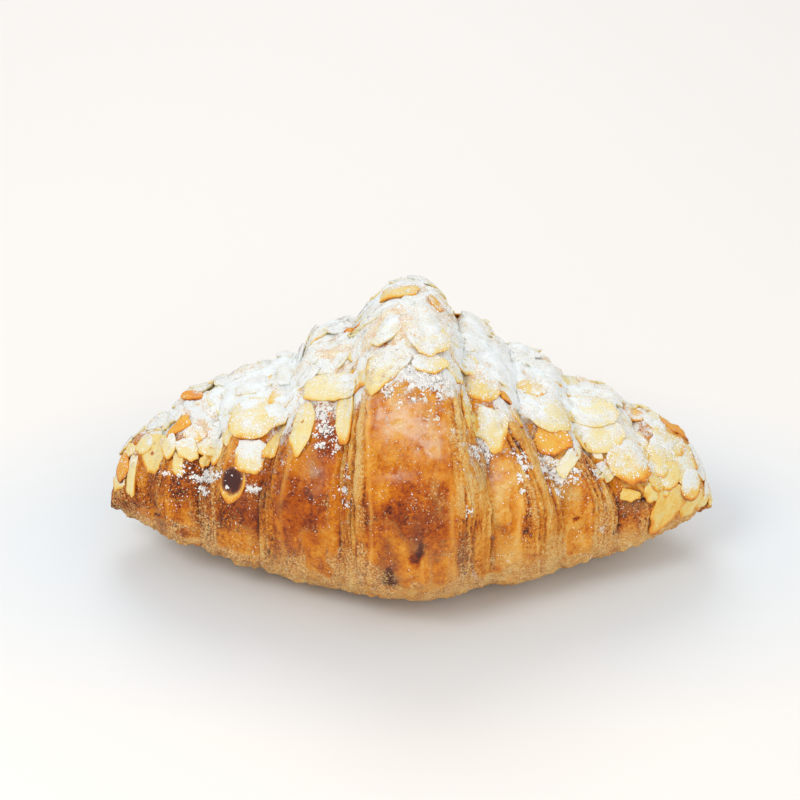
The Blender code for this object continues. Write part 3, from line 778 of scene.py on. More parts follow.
# Flakes that stand out at the front and the ends: place along X in mm, degrees round the roll,
# length, width, turn of the long axis (0 hangs down, 90 points to +X), then how its tip is
# lifted in degrees, how toasted and how sugared it is, and its outline
placedFlakes = (
    # left end
    (-73.5, 168, 6.5, 5.2, 30, 6, 0.36, 0.60, "wedge"), (-72.5, 130, 11, 3.6, -25, 6, 0.30, 0.45, "slab"),
    (-75, 150, 8, 6.8, -16, 6, 0.62, 0.02, "egg"), (-66, 144, 11.5, 10, -18, 8, 0.34, 0.02, "fan"),
    (-69, 160, 7, 6, 40, 4, 0.30, 0.55, "egg"), (-59.5, 129, 6, 3, 0, 6, 0.36, 0.35, "slab"),
    (-60, 157, 9, 4.6, -62, 12, 0.58, 0.0, "fan"), (-57, 186, 7, 5, 60, 8, 0.66, 0.30, "egg"),
    (-55, 150, 6, 5, 80, 8, 0.45, 0.60, "egg"),
    # left wraps
    (-52, 142, 8, 5, 75, 14, 0.34, 0.75, "slab"), (-45.2, 115.3, 10.4, 6.8, -17, 6, 0.46, -0.1, "skin"),
    (-40.5, 131, 9, 8.5, 0, 10, 0.34, 0.85, "slab"), (-46, 150, 10, 6, 0, 5, 0.30, 0.70, "egg"),
    (-39, 153, 16.5, 13, 90, 4, 0.32, 0.72, "egg"), (-34, 139, 10.5, 4, -25, 18, 0.36, 0.25, "slab"),
    (-31, 161, 9, 6, 85, 10, 0.42, 0.75, "egg"), (-27.5, 139, 15, 7.5, -10, 7, 0.30, 0.35, "tear"),
    (-20, 156, 14, 8.5, 80, 5, 0.25, 0.60, "slab"),
    # middle wrap
    (-16, 142, 16, 5.5, -5, 5, 0.28, 0.40, "tear"), (-13, 184, 9, 4.5, 80, 10, 0.64, -0.05, "slab"),
    (-5.8, 150, 12, 13, 4, 7, 0.24, 0.60, "trapezoid"), (-3.2, 187, 11, 7, 85, 4, 0.42, 0.40, "slab"),
    (4, 162, 12, 11.5, 0, 4, 0.28, 0.85, "egg"), (5, 152, 10, 5.5, 85, 10, 0.34, 0.80, "wedge"),
    (6, 184, 8, 5, 10, 8, 0.52, 0.45, "egg"), (13.5, 143, 12.5, 8, 20, 14, 0.42, 0.55, "tear"),
    # right wraps
    (19.5, 138, 12, 8.5, -5, 8, 0.33, 0.65, "wedge"), (18, 155, 9, 8, 85, 12, 0.40, 0.75, "egg"),
    (26, 149, 6.5, 5.5, 60, 12, 0.50, 0.45, "egg"), (30.5, 168, 8, 6, 90, 8, 0.42, 0.60, "egg"),
    (34.5, 156, 15, 12, 90, 5, 0.27, 0.72, "egg"), (36, 141, 11, 8, 70, 7, 0.58, 0.02, "wedge"),
    (39.5, 132, 11, 4, -35, 10, 0.16, 0.60, "slab"), (46, 168, 16, 12, 85, 4, 0.24, 0.66, "egg"),
    (48, 153, 15, 11, 90, 6, 0.26, 0.68, "egg"), (48, 128, 5.5, 4, -60, 8, 0.22, 0.50, "tear"),
    # right end
    (57, 152, 11, 9, 30, 6, 0.34, 0.80, "egg"), (57.5, 184, 7, 6, 30, 8, 0.52, 0.45, "egg"),
    (66.5, 158, 11, 9, 60, 7, 0.36, 0.78, "wedge"), (70, 145, 14, 12, 35, 6, 0.35, 0.75, "egg"),
    (62.5, 137, 10, 7.5, 12, 6, 0.36, 0.72, "egg"), (64.8, 118, 8, 5, 6, 8, 0.33, 0.30, "tear"),
    (77.3, 114, 9, 4.5, 0, 6, 0.38, 0.45, "slab"), (74.3, 98, 10, 7.5, 5, 4, 0.42, 0.15, "tear"),
    (66, 93, 15, 11, -22, 5, 0.46, 0.06, "egg"), (72, 119, 9, 7.5, 5, 8, 0.38, 0.62, "round"),
    (69, 192, 10, 7, 80, 8, 0.64, 0.15, "egg"), (55.5, 133, 13.5, 13, 0, 9, 0.42, 0.72, "round"),
)
# Pieces laid over those, too thin or small for the solid
extraFlakes = (
    (-7, 179, 18.5, 5, 84, 5, 0.08, 0.95, "egg"), (-76, 134, 6.2, 4.2, 78, 6, 0.34, 0.35, "slab"),
    (78.5, 120, 6, 2, 0, 12, 0.35, 0.2, "slab"), (23.5, 154, 4.5, 3, 70, 14, 0.6, 0.3, "egg"),
    (47.5, 140, 4, 2.5, 30, 10, 0.1, 0.6, "chip"), (56, 110, 6, 3.4, 62, 8, 0.46, -0.05, "wedge"),
    (61.3, 111, 5.5, 4, 15, 5, 0.40, 0.15, "curl"), (62, 124, 9, 6.5, 20, 6, 0.38, 0.35, "egg"),
    (66, 125, 9, 6.5, -30, 6, 0.36, 0.4, "egg"), (50, 126, 4.5, 3.2, -40, 8, 0.26, 0.6, "chip"),
    (-61.5, 142, 7, 5.2, 0, 5, 0.30, 0.66, "egg"), (-57, 138, 7, 5.4, 16, 6, 0.32, 0.62, "wedge"),
    (-49.2, 138, 8, 5, -12, 6, 0.28, 0.56, "tear"), (-53, 132, 4, 3, -20, 8, 0.44, 0.35, "chip"),
)

flakeCover = dict(
    thickness=0.44 * mm, bed=0.18 * mm, scattered=105, seed=11, smallest=8.5 * mm, largest=17 * mm,
    spacing=0.36, tries=400, reach=77 * mm,
    zone={"front": (152, 134), "back": (214, 246)},    # degrees, middle and ends
    # smaller pieces over and between the whole flakes: how many, their sizes, and the spare
    # angle by which they may leave the zone
    bitSeed=23, small=((90, 5 * mm, 10 * mm, 0.0), (70, 2.0 * mm, 4.5 * mm, 0.12)),
    # outlines and toast values of the scattered flakes, each with its share
    kinds={"egg": 0.36, "tear": 0.16, "slab": 0.18, "wedge": 0.16, "half": 0.14},
    toasts={0.10: 0.3, 0.18: 0.4, 0.26: 0.22, 0.42: 0.08},
    buried=0.55 * mm,    # how much higher the powder stands on the upper half of a flake than on the lower
    shown=1.1 * mm,      # how far the powder sinks where a flake has little sugar
    stackStep=0.26 * mm, hug=0.72, leastGap=0.12 * mm, skirt=0.34 * mm,
    corners=28, rings=(0.4, 0.7, 0.9, 1.0),
)


# Angles between which flakes are scattered at place x: narrow in the middle, wide at the ends
def flakeZone(x):
    out = np.minimum(np.abs(x) / (doughShape["length"] / 4), 1)
    return [np.radians(between(*limits, out)) for limits in flakeCover["zone"].values()]


# Random places in the scatter zone from pairs of random values, with their crust points
def zonePlaces(pairs, spare=0.0):
    x = (pairs[:, 0] * 2 - 1) * flakeCover["reach"]
    low, high = flakeZone(x)
    angle = between(low - spare, high + spare, pairs[:, 1])
    return x, angle, crustPoint(wrapAt(x, angle), angle)


# Places for the scattered flakes, the largest first: of a number of tries each, the first that
# is clear of the flakes before it by a share of both lengths
def scatterFlakes(taken):
    cover = flakeCover
    pairs = np.random.default_rng(cover["seed"]).random((cover["scattered"] * (cover["tries"] + 1), 2))
    x, angle, middles = zonePlaces(pairs)
    rows, taken, first = [], list(taken), 0
    for number in range(cover["scattered"]):
        length = between(cover["largest"], cover["smallest"], (number / cover["scattered"]) ** 0.8)
        places, sizes = [np.array(part) for part in zip(*taken)]
        tries = middles[first:first + cover["tries"]]
        gaps = np.linalg.norm(tries[:, None] - places[None], axis=-1) - cover["spacing"] * (length + sizes)
        free = np.flatnonzero(gaps.min(1) > 0)
        if len(free) == 0:
            first += cover["tries"]
            continue
        pick = first + free[0]
        share, turn = pairs[pick + 1]
        taken.append((middles[pick], length))
        width = length * (0.48 + 0.36 * share)
        rows.append((x[pick], angle[pick], length, width, 2 * np.pi * turn, None, None, None, None))
        first = pick + 2
    return rows


# Smaller flakes and broken bits over and between the whole ones, at random places that are clear
# of the placed ones by shares of the lengths
def scatterBits(placed):
    chance = np.random.default_rng(flakeCover["bitSeed"])
    places, sizes = [np.array(part) for part in zip(*placed)]
    rows = []
    for count, smallest, largest, spare in flakeCover["small"]:
        x, angle, middles = zonePlaces(chance.random((count, 2)), spare)
        length = chance.uniform(smallest, largest, count)
        width = length * chance.uniform(0.4, 0.8, count)
        turn = chance.uniform(0, 2 * np.pi, count)
        gaps = np.linalg.norm(middles[:, None] - places[None], axis=-1)
        clear = (gaps - 0.42 * sizes - 0.25 * length[:, None]).min(1) > 0
        free = clear & (bareShare(x, np.degrees(angle)) < 0.5)
        kind = "chip" if smallest < 3 * mm else None
        found = np.stack([x, angle, length, width, turn], -1)[free]
        rows += [(*row, None, None, None, kind) for row in found]
    return rows


# Outlines of flakes as corners along and across, 1 at half the length and width; the tip is at
# (1, 0), and each is rounded towards an ellipse by the share that comes first
flakeShapes = dict(
    egg=(0.60, ((-0.95, -0.5), (-0.95, 0.5), (-0.5, 0.98), (0.3, 0.85), (1.0, 0.15), (1.0, -0.15),
                (0.3, -0.85), (-0.5, -0.98))),
    tear=(0.45, ((-0.95, -0.55), (-1.0, 0.4), (-0.35, 0.95), (0.45, 0.75), (1.02, 0.14), (0.98, -0.2),
                 (0.4, -0.8), (-0.4, -0.9))),
    slab=(0.15, ((-1.0, -0.85), (-0.92, 0.95), (0.1, 0.88), (0.95, 0.98), (1.0, 0.1), (0.88, -0.9),
                 (-0.1, -0.97))),
    wedge=(0.10, ((-0.9, -1.0), (-1.0, 0.75), (0.0, 1.05), (0.75, 0.95), (0.9, 0.25), (0.45, -0.3),
                  (0.3, -0.95))),
    trapezoid=(0.08, ((-0.95, -0.85), (-1.0, 0.1), (-0.92, 0.8), (-0.35, 1.0), (0.0, 0.62), (0.35, 0.2),
                      (0.72, -0.25), (1.05, -0.85), (0.1, -1.0))),
    skin=(0.50, ((-0.95, -0.5), (-0.95, 0.5), (-0.4, 0.98), (0.4, 0.8), (1.05, 0.1), (1.05, -0.1),
                 (0.4, -0.8), (-0.4, -0.98))),
    fan=(0.20, ((-1.0, -0.75), (-0.85, 0.55), (-0.75, 0.95), (0.0, 0.95), (0.95, 0.25), (1.0, -0.1),
                (0.35, -0.7), (-0.3, -0.95))),
    round=(0.85, ((-0.95, -0.5), (-0.95, 0.5), (-0.4, 0.98), (0.4, 0.95), (1.0, 0.3), (1.0, -0.3),
                  (0.4, -0.95), (-0.4, -0.98))),
    half=(0.35, ((-0.3, -1.0), (-0.15, -0.3), (-0.3, 0.2), (-0.2, 1.0), (0.5, 0.85), (1.0, 0.15),
                 (1.0, -0.2), (0.5, -0.85))),
    curl=(0.30, ((-1.0, -0.9), (-0.95, 0.95), (0.2, 1.0), (1.0, 0.8), (0.95, -0.8), (0.1, -1.0))),
    chip=(0.05, ((-1.0, -0.4), (-0.5, 0.9), (0.35, 0.8), (1.0, 0.3), (0.55, -0.5), (0.1, -1.0))),
)


# Outline of one flake at each corner angle: where a ray from the middle leaves the shape,
# rounded towards an ellipse and made ragged by random waves and single steps
def flakeOutline(kind, corners, chance):
    if kind is None:
        kind = chance.choice(list(flakeCover["kinds"]), p=list(flakeCover["kinds"].values()))
    rounding, shape = flakeShapes[kind]
    shape = np.array(shape)
    ray = np.stack([np.cos(corners), np.sin(corners)], -1)
    edge = np.roll(shape, -1, axis=0) - shape
    crossing = ray[:, :1] * edge[None, :, 1] - ray[:, 1:] * edge[None, :, 0]
    crossing = np.where(np.abs(crossing) < 1e-9, 1e-9, crossing)
    reach = (shape[:, 0] * edge[:, 1] - shape[:, 1] * edge[:, 0])[None] / crossing
    share = (shape[None, :, 0] * ray[:, 1:] - shape[None, :, 1] * ray[:, :1]) / crossing
    hit = (reach > 0) & (share >= -1e-6) & (share <= 1 + 1e-6)
    size = between(np.minimum(np.where(hit, reach, 9).min(1), 1.3), 1, rounding)
    wobble = 0.012 if kind in ("tear", "skin") else 0.042
    size = size * (1 + sum(chance.uniform(-wobble, wobble) * np.cos(n * corners + chance.uniform(0, 6.28))
                           for n in (3, 4, 6, 8, 11)))
    size = size * (1 + wobble * chance.uniform(-1, 1, corners.shape))
    return ray[:, 0] * size, ray[:, 1] * size


# One flake: rings of its outline over a bowed, curled and twisted middle surface with rounded
# rims, and the height of each point over that surface; its toast value rises to its lower rim,
# where the sugar ends, and is higher on the rim band and underneath, where it is partly toasting
# and partly painted warm shade under the flake
def flakeSheet(row, stacked, chance):
    cover = flakeCover
    x, angle, length, width, turn, lift, toast, sugar, kind = row
    middle, ahead, upward, outward = crustFrame(x, angle, 0.4 * length)
    high = ease((degreesUp(angle) - 142) / 20)
    if lift is None:
        lift = chance.uniform(0, 12) * (1 - 0.75 * high)
        toast = chance.choice(list(cover["toasts"]), p=list(cover["toasts"].values()))
        sugar = 0.38 + 0.34 * high - 0.12 * chance.random() - 0.12 * (chance.random() < 0.12)
    else:
        sugar = 0.15 + 0.48 * sugar
    longWay = -upward * np.cos(turn) + ahead * np.sin(turn)
    tilt = np.radians(lift) * (-1 if longWay[2] > 0.25 else 1)
    longWay = longWay * np.cos(tilt) + outward * np.sin(tilt)
    crossWay = unit(np.cross(outward, longWay))
    through = np.cross(longWay, crossWay)
    corners = np.arange(cover["corners"]) * 2 * np.pi / cover["corners"]
    outlineAlong, outlineAcross = flakeOutline(kind, corners, chance)
    thick = cover["thickness"] * chance.uniform(0.75, 1.15)
    # rings from the middle out: reach, height over the middle surface, and 0 top, 1 rim or 2 below
    rings = [(ring, thick / 2 * (1 - 0.45 * ring ** 8), 0.0) for ring in cover["rings"]]
    rings += [(1.02, 0.0, 1.0), (1.0, -thick / 2 - cover["skirt"], 2.0), (0.6, -thick / 2, 2.0)]
    reach, rise, face = np.array(rings).T
    along = np.append((reach[:, None] * outlineAlong).ravel() * length / 2, (0, 0))
    across = np.append((reach[:, None] * outlineAcross).ravel() * width / 2, (0, 0))
    over = np.append(np.repeat(rise, cover["corners"]), (thick / 2, -thick / 2))
    out = np.append(np.repeat(reach, cover["corners"]), (0, 0))
    side = np.append(np.repeat(face, cover["corners"]), (0, 2))
    bowAlong, bowAcross = chance.uniform(-0.2, 1.0) / 50, chance.uniform(-0.2, 1.0) / 40    # 1 / radius in mm
    bowAcross = 0.62 if kind == "curl" else bowAcross
    bow = -(bowAlong * (along / mm) ** 2 + bowAcross * (across / mm) ** 2) / 2 * mm
    curl = chance.uniform(-0.5, 1.1) * mm * (along / (length / 2)) ** 2 * (length / (14 * mm))
    twist = chance.uniform(-1, 1) * 0.8 * mm * (along * across) / (length * width / 4) * (length / (14 * mm))
    base = cover["bed"] + stacked
    points = middle + along[:, None] * longWay + across[:, None] * crossWay
    points += (bow + curl + twist + base)[:, None] * through
    over += 0.09 * mm * smoothNoise(points, 1.3 * mm, 91) * (side != 2)
    rim = ease((out - 0.70) / 0.30)
    downhill = ease(0.5 - (points - middle)[:, 2] / (0.7 * length))
    noise = np.clip(0.8 + 0.9 * roughNoise(points, 3 * mm, 93, 2), 0.1, 1.6)
    browning = rim * (0.01 + 0.36 * downhill) * noise
    # painted warm shade: the extra on the rim band and underside stands in part for orange light bounced into
    # the gaps under the flakes; the rest is toasting
    toast = toast + browning * (1 - 0.3 * high) + 0.10 * (side == 1) + (0.28 - 0.10 * high) * (side == 2)
    sugar = sugar + 0.20 * roughNoise(points, 4 * mm, 95) - 0.26 * rim * downhill + 0.22 * (0.5 - downhill)
    sugar -= 0.06 * (side == 1) + (0.5 - 0.36 * high) * (side == 2)
    if kind == "round":
        noise = np.clip(0.9 + 0.8 * roughNoise(points, 3 * mm, 97, 2), 0, 1)
        crescent = ease((downhill - 0.60) / 0.30) * noise
        toast = toast + 0.13 * crescent
        sugar = sugar - 0.30 * crescent + 0.10 * (1 - crescent)
    skinShape = ((along / length + 0.12) / 0.34) ** 2 + ((across / width + 0.05) / 0.40) ** 2
    skin = (ease((1.75 - skinShape) / 1.5) * (kind == "skin") + 0.14 * (kind == "trapezoid")) * (side == 0)
    uv = np.stack([along / (12 * mm) + chance.uniform(0, 9), across / (12 * mm) + chance.uniform(0, 9)], -1)
    hug = np.full(over.shape, 0.1 if kind == "curl" else cover["hug"])
    return points, over, np.full(over.shape, base), hug, uv, dict(toast=toast, sugar=sugar, skin=skin)


# Flakes laid on the crust: each point's gap to the crust is part its own (a stiff flake) and
# part the flake's bed (one that follows the crust), never under a small least gap; also the
# wrap, the angle and the height over the crust at which each point ends
def hugCrust(points, thickness, bed, hug):
    half = doughShape["length"] / 2
    angle = angleAt(points)
    wrap = wrapAt(np.clip(points[:, 0], -half * 0.985, half * 0.985), angle)
    surface = crustPoint(wrap, angle)
    ahead = crustPoint(wrap + 0.05, angle) - crustPoint(wrap - 0.05, angle)
    upward = crustPoint(wrap, angle + 0.03) - crustPoint(wrap, angle - 0.03)
    outward = unit(np.cross(ahead, upward))
    gap = ((points - surface) * outward).sum(-1)
    relief = crustFinishing(wrap, angle, surface)[0] * reliefShare(surface[:, 0])
    wanted = np.maximum(bed + (gap - bed) * (1 - hug), relief + flakeCover["leastGap"])
    points = points + outward * (wanted - gap + thickness)[:, None]
    return points, np.stack([wrap, angle, wanted + thickness], -1)


# Faces of one flake: quads between its rings, with a fan in the middle above and below
def flakeFaces():
    n = flakeCover["corners"]
    ringCount = len(flakeCover["rings"]) + 3
    k = np.arange(n)
    beside, last = (k + 1) % n, (ringCount - 1) * n
    fans = [np.stack([np.full(n, ringCount * n), k, beside], -1),
            np.stack([np.full(n, ringCount * n + 1), last + beside, last + k], -1)]
    return gridFaces(ringCount, n, True), np.concatenate(fans)


# Height of each flake over the crust: a step for each flake laid before it at its place, and
# the powder that it lies on
def stackHeights(rows):
    x, angle, size = np.array([row[:3] for row in rows]).T
    wrap = wrapAt(x, angle)
    places = crustPoint(wrap, angle)
    gaps = np.linalg.norm(places[:, None] - places[None], axis=-1)
    under = np.tril(gaps < 0.40 * (size[:, None] + size[None]), -1)
    wraps, angles, *_, lying = driftGrid()
    i = np.clip(np.searchsorted(wraps, wrap), 0, len(wraps) - 1)
    j = np.clip(np.searchsorted(angles, angle), 0, len(angles) - 1)
    inside = (angles[0] < angle) & (angle < angles[-1])
    return flakeCover["stackStep"] * np.minimum(under.sum(1), 3) + lying[i, j] * inside


# All flakes in the order in which they lie: scattered, small, placed, then the extra ones
def layFlakes():
    units = (mm, np.pi / 180, mm, mm, np.pi / 180)
    known = [[(*np.multiply(row[:5], units), *row[5:]) for row in table]
             for table in (placedFlakes, extraFlakes)]
    placed = [(crustPoint(wrapAt(row[0], row[1]), row[1]), row[2]) for row in known[0]]
    scattered = [row for row in scatterFlakes(placed) if bareShare(row[0], np.degrees(row[1])) < 0.6]
    return scattered + scatterBits(placed) + known[0] + known[1]


# The flakes as one mesh, laid on the crust one over another; also the faces of their tops, how
# much fine sugar each gets by its sugar value, and where the powder is to lie over them
def buildFlakes():
    rows = layFlakes()
    chance = np.random.default_rng(flakeCover["seed"] + 1)
    sheets = [flakeSheet(row, stacked, chance) for row, stacked in zip(rows, stackHeights(rows))]
    *parts, allValues = zip(*sheets)
    points, thickness, bed, hug, uvs = [np.concatenate(part) for part in parts]
    values = {key: np.concatenate([own[key] for own in allValues]) for key in allValues[0]}
    quads, fans = flakeFaces()
    starts = (np.arange(len(rows)) * len(sheets[0][0]))[:, None, None]
    quads, fans = quads[None] + starts, fans[None] + starts
    points, places = hugCrust(points, thickness, bed, hug)
    faces = quads.reshape(-1, 4).tolist() + fans.reshape(-1, 3).tolist()
    uvs = uvs[np.concatenate([quads.ravel(), fans.ravel()])]
    piece = makePiece("almondFlakes", points, faces, almondMaterial(), values, uvs)
    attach(piece, "root")
    print("flakes", len(rows), "with", quads.size // 2 + fans.size // 3, "triangles")
    up = points.reshape(len(rows), -1, 3)[..., 2]
    rise = (up - up.mean(1, keepdims=True)) / np.ptp(up, axis=1, keepdims=True) * 2
    sinking = flakeCover["shown"] * (1 - ease((values["sugar"] - 0.36) / 0.16))
    places[:, 2] += flakeCover["buried"] * rise.ravel() - sinking
    tops = quads[:, :flakeCover["corners"] * 3].reshape(-1, 4)
    middles = fans[:, :flakeCover["corners"]].reshape(-1, 3)[:, [0, 1, 2, 2]]
    share = np.clip(values["sugar"][tops].mean(1) - 0.22, 0.01, 0.4)
    return points[tops], share, places[np.concatenate([tops, middles])]


sugarCover = dict(
    # smooth banks of deeper powder: x mm, degrees, size along and round in mm, how much deeper in mm
    banks=(
        (-40, 176, 7, 7, 0.9), (-14, 184, 5, 4, 0.5), (22, 172, 7, 7, 0.9), (34, 178, 6, 6, 0.6),
        (7, 167, 3, 3, 0.4), (-52, 168, 5, 4, 0.5),
    ),
    # places on top where crust shows through: x mm, degrees, size along and round, how bare
    bare=(
        (-3, 186, 6, 4.5, 1.0), (-10, 193, 4.5, 8, 1.0), (10, 189, 3.5, 9, 0.5), (5, 188, 2, 5, 0.9),
        (-4.8, 161, 4, 5, 0.75), (4, 152, 5, 3, 1.0), (-56, 176, 4, 4, 0.8), (-21, 186, 3, 2, 0.7),
        (58, 182, 5, 5, 0.6), (40, 196, 5, 4, 0.4), (-45, 205, 6, 5, 0.6), (20, 222, 6, 5, 0.6),
    ),
    # where the powder is thin and the crust tints it: x mm, degrees, size along and round, how thin
    thinned=(
        (-6, 168, 7, 8, 0.75), (-20, 172, 5, 5, 0.55), (8, 180, 3, 8, 0.5), (-2, 188, 6, 4, 0.5),
        (14, 158, 4, 4, 0.4), (62, 155, 14, 12, 0.6), (-60, 152, 10, 8, 0.45), (-28, 178, 3, 5, 0.4),
        (-40, 176, 9, 8, -0.5), (-14, 186, 5, 4, -0.5), (22, 172, 7, 7, -0.4), (-46, 200, 9, 9, 0.5),
        (10, 212, 12, 8, 0.5), (42, 205, 9, 9, 0.5), (-18, 225, 9, 8, 0.5),
    ),
    # lower border of the powder: distance from the middle in mm, and degrees up from the base
    borderPlaces=(0, 12, 25, 45, 80), borderAngles=(158, 156, 149, 145, 142),
    fillReach=6 * mm, fillMost=2.2 * mm,
    driftGrid=(330, 148), driftEnd=4.75, driftAngles=(132, 246), driftHeight=1.7 * mm, driftSink=0.36 * mm,
    coarseRelief=0.28 * mm, fineRelief=0.20 * mm, driftBase=1.0 * mm,
    blanketRise=-0.05 * mm, blanketNoise=0.55 * mm,    # the powder's height over the flakes, and its clouds
    grainSeed=37, dustSeed=38, crumbSeed=39, grainSizes=(0.09 * mm, 0.34 * mm),
    loose=11000, flakeGrains=38000, driftGrains=15000,
    heap=40, heapReach=0.55,    # grains in a heap, and how far they spread in mm
    # clumps of grains: x mm, degrees, spread along and round in mm, grains
    clumps=(
        (-54, 122, 5, 3.0, 612), (-53, 115, 3.2, 3.0, 340), (-39.5, 114, 1.2, 0.7, 153),
        (17.6, 129, 1.6, 4.5, 1088), (32, 130, 4, 3.5, 1870), (37, 125, 3, 2.5, 850),
        (-22, 141, 2.2, 5, 884), (3, 146, 7, 2.2, 2550), (-19, 122, 2.0, 6, 153), (50, 130, 3, 3, 595),
        (35, 113, 2.0, 3, 272), (27, 122, 1.2, 4, 374), (-16, 112, 1.6, 8, 221), (14, 108, 1.4, 8, 68),
    ),
)


# Icing sugar: the powder tone; the drift has relief, and tan specks where it is thin: more of
# them the higher the thin value and a fine noise add up to
def sugarMaterial(name, relief):
    finish = powderFinish
    material, tree, shader = newMaterial(name, {"Specular IOR Level": finish["specular"]})
    colour, tone = powderTone(tree, finish["driftStops"] if relief else finish["grainStops"])
    if relief:
        specks = noiseValue(tree, 2300, 2.0, rough=0.6) + readValue(tree, "thin") * 0.32
        tan = colourRamp(tree, noiseValue(tree, 500, 3.0), finish["crustStops"])
        colour = mixColour(tree, ((specks - 0.66) * 7.0).clamped() * 0.80, colour, tan)
    rough = tone * 0.15 + finish["grainRoughness"]
    height = tone if relief else None
    finishShader(tree, shader, colour, rough, height, finish["bumpStrength"], finish["bumpDepth"])
    return material


# How bare of sugar and loose flakes a place on the crust is, from 0 to 1: a sum of bells
def bareShare(x, degrees):
    return np.clip(bells(x, degrees, sugarCover["bare"]), 0, 1)


# A grid of points averaged along its first direction over the reach to each side
def smoothAlong(points, reach):
    spacing = np.linalg.norm(np.diff(points, axis=0), axis=-1).mean()
    count = int(reach / spacing)
    padded = np.concatenate([points[:1]] * (count + 1) + [points] + [points[-1:]] * count)
    padded[0] = 0
    total = np.cumsum(padded, axis=0)
    return (total[2 * count + 1:] - total[:-2 * count - 1]) / (2 * count + 1)


# Thickness of the powder over a grid of crust points: cloudy noise where it lies, more where
# the crust is hollow along the roll, and less than nothing (under the crust) elsewhere; also how
# high the flakes that lie on it stand
def driftThickness(points, normal, wrapGrid, angleGrid):
    powder = sugarCover
    x, degrees = points[..., 0], np.degrees(angleGrid)
    border = np.interp(np.abs(x) / mm, powder["borderPlaces"], powder["borderAngles"])
    border -= 7 * ease((-x / mm - 40) / 12)
    border += 5 * smoothNoise(points, 6 * mm, 99) + 4 * roughNoise(points, 2.5 * mm, 100)
    cover = ease((degreesUp(angleGrid) - border) / 12) * (1 - bareShare(x, degrees))
    cover *= ease((3.9 - np.abs(wrapGrid) + 0.6 * roughNoise(points, 5 * mm, 98)) / 0.9)
    cloud = np.clip(0.62 + 0.65 * roughNoise(points, 5 * mm, 101, 3), 0, 1.3)
    fill = ((smoothAlong(points, powder["fillReach"]) - points) * normal).sum(-1)
    fill = np.clip(fill, 0, powder["fillMost"]) * (1 - 0.85 * np.exp(-(x / (15 * mm)) ** 4))
    thick = powder["driftHeight"] * cloud + fill + bells(x, degrees, powder["banks"]) * mm
    return thick * cover - powder["driftSink"], (fill + 0.35 * powder["driftHeight"]) * cover


# The grid of crust points on which powder lies: its wraps and angles, the points, their outward
# directions and the thickness there
def driftGrid():
    powder = sugarCover
    wraps = np.linspace(-powder["driftEnd"], powder["driftEnd"], powder["driftGrid"][0])
    angles = np.radians(np.linspace(*powder["driftAngles"], powder["driftGrid"][1]))
    wrapGrid, angleGrid = np.meshgrid(wraps, angles, indexing="ij")
    points = crustPoint(wrapGrid, angleGrid)
    normal = unit(np.cross(np.gradient(points, axis=0), np.gradient(points, axis=1)))
    return wraps, angles, points, normal, *driftThickness(points, normal, wrapGrid, angleGrid)


# Points on faces of four corners: each corner times its share of the way across (u) and up (v)
def mixCorners(faces, u, v):
    shares = ((1 - u) * (1 - v), u * (1 - v), u * v, (1 - u) * v)
    return sum(share * faces[:, n] for n, share in enumerate(shares))


# Heights of the flakes over the crust on the drift's grid: the highest of many places on each
# of their faces that fall to a grid point, and -1 where there is none
def flakeHeights(places, wraps, angles):
    share = (np.arange(6) + 0.5) / 6
    u, v = [part.ravel()[:, None, None] for part in np.meshgrid(share, share)]
    wrap, angle, height = mixCorners(places, u, v).reshape(-1, 3).T
    i = np.round((wrap - wraps[0]) / (wraps[1] - wraps[0])).astype(int)
    j = np.round((angle - angles[0]) / (angles[1] - angles[0])).astype(int)
    inside = (i >= 0) & (i < len(wraps)) & (j >= 0) & (j < len(angles))
    heights = np.full((len(wraps), len(angles)), -1.0)
    np.maximum.at(heights, (i[inside], j[inside]), height[inside])
    return heights


# A grid of values, each the mean of itself and its neighbours within the reach, twice over
def blurred(values, reach):
    for axis in (0, 1, 0, 1):
        spare = [(reach, reach) if axis == n else (0, 0) for n in (0, 1)]
        padded = np.pad(values, spare, mode="edge")
        values = np.stack([np.roll(padded, -n, axis) for n in range(2 * reach + 1)]).mean(0)
        values = values[:-2 * reach] if axis == 0 else values[:, :-2 * reach]
    return values


# Powder that has settled between and over the flakes: the crust surface raised by its thickness,
# which is the blurred height of the flakes and powder with clouds added, and a sheet below that
# closes it; also the faces of its top, and how many crumbs of sugar each gets
def buildDrift(material, places):
    powder = sugarCover
    wraps, angles, points, normal, thick, _ = driftGrid()
    flakes = flakeHeights(places, wraps, angles)
    blanket = blurred(np.where(flakes > -0.5, np.maximum(flakes, thick), thick), 2)
    blanket += powder["blanketRise"] + powder["blanketNoise"] * roughNoise(points, 4.5 * mm, 109, 3)
    reach = ease((thick + powder["driftSink"]) / (0.7 * mm))
    thick = thick + reach * np.clip(blanket - thick, 0, 3 * mm)
    thick += powder["coarseRelief"] * roughNoise(points, 2.2 * mm, 105, 3)
    thick += powder["fineRelief"] * roughNoise(points, 1.1 * mm, 107, 2)
    thin = 0.95 - 0.75 * ease(thick / (1.3 * mm)) + 0.35 * roughNoise(points, 5 * mm, 115, 3)
    thin = np.clip(thin + bells(points[..., 0], np.degrees(angles)[None], powder["thinned"]), 0, 1)
    top = (points + normal * thick[..., None]).reshape(-1, 3)
    bottom = (points - normal * powder["driftBase"]).reshape(-1, 3)
    rows, columns = points.shape[:2]
    upper = gridFaces(rows, columns, False)
    count = rows * columns
    grid = np.arange(count).reshape(rows, columns)
    loop = np.concatenate([grid[0], grid[1:, -1], grid[-1, -2::-1], grid[-2:0:-1, 0]])
    nextOne = np.roll(loop, -1)
    wall = np.stack([loop, nextOne, nextOne + count, loop + count], -1)
    faces = np.concatenate([upper, upper[:, ::-1] + count, wall])
    values = dict(thin=np.tile(thin.ravel(), 2))
    piece = makePiece("sugarDrift", np.concatenate([top, bottom]), faces, material, values)
    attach(piece, "root")
    print("drift", len(faces), "faces")
    level = thick.ravel()[upper].mean(1) / mm
    return top[upper], np.exp(-((level - 0.2) / 0.5) ** 2) + 0.25 * (level > 0)


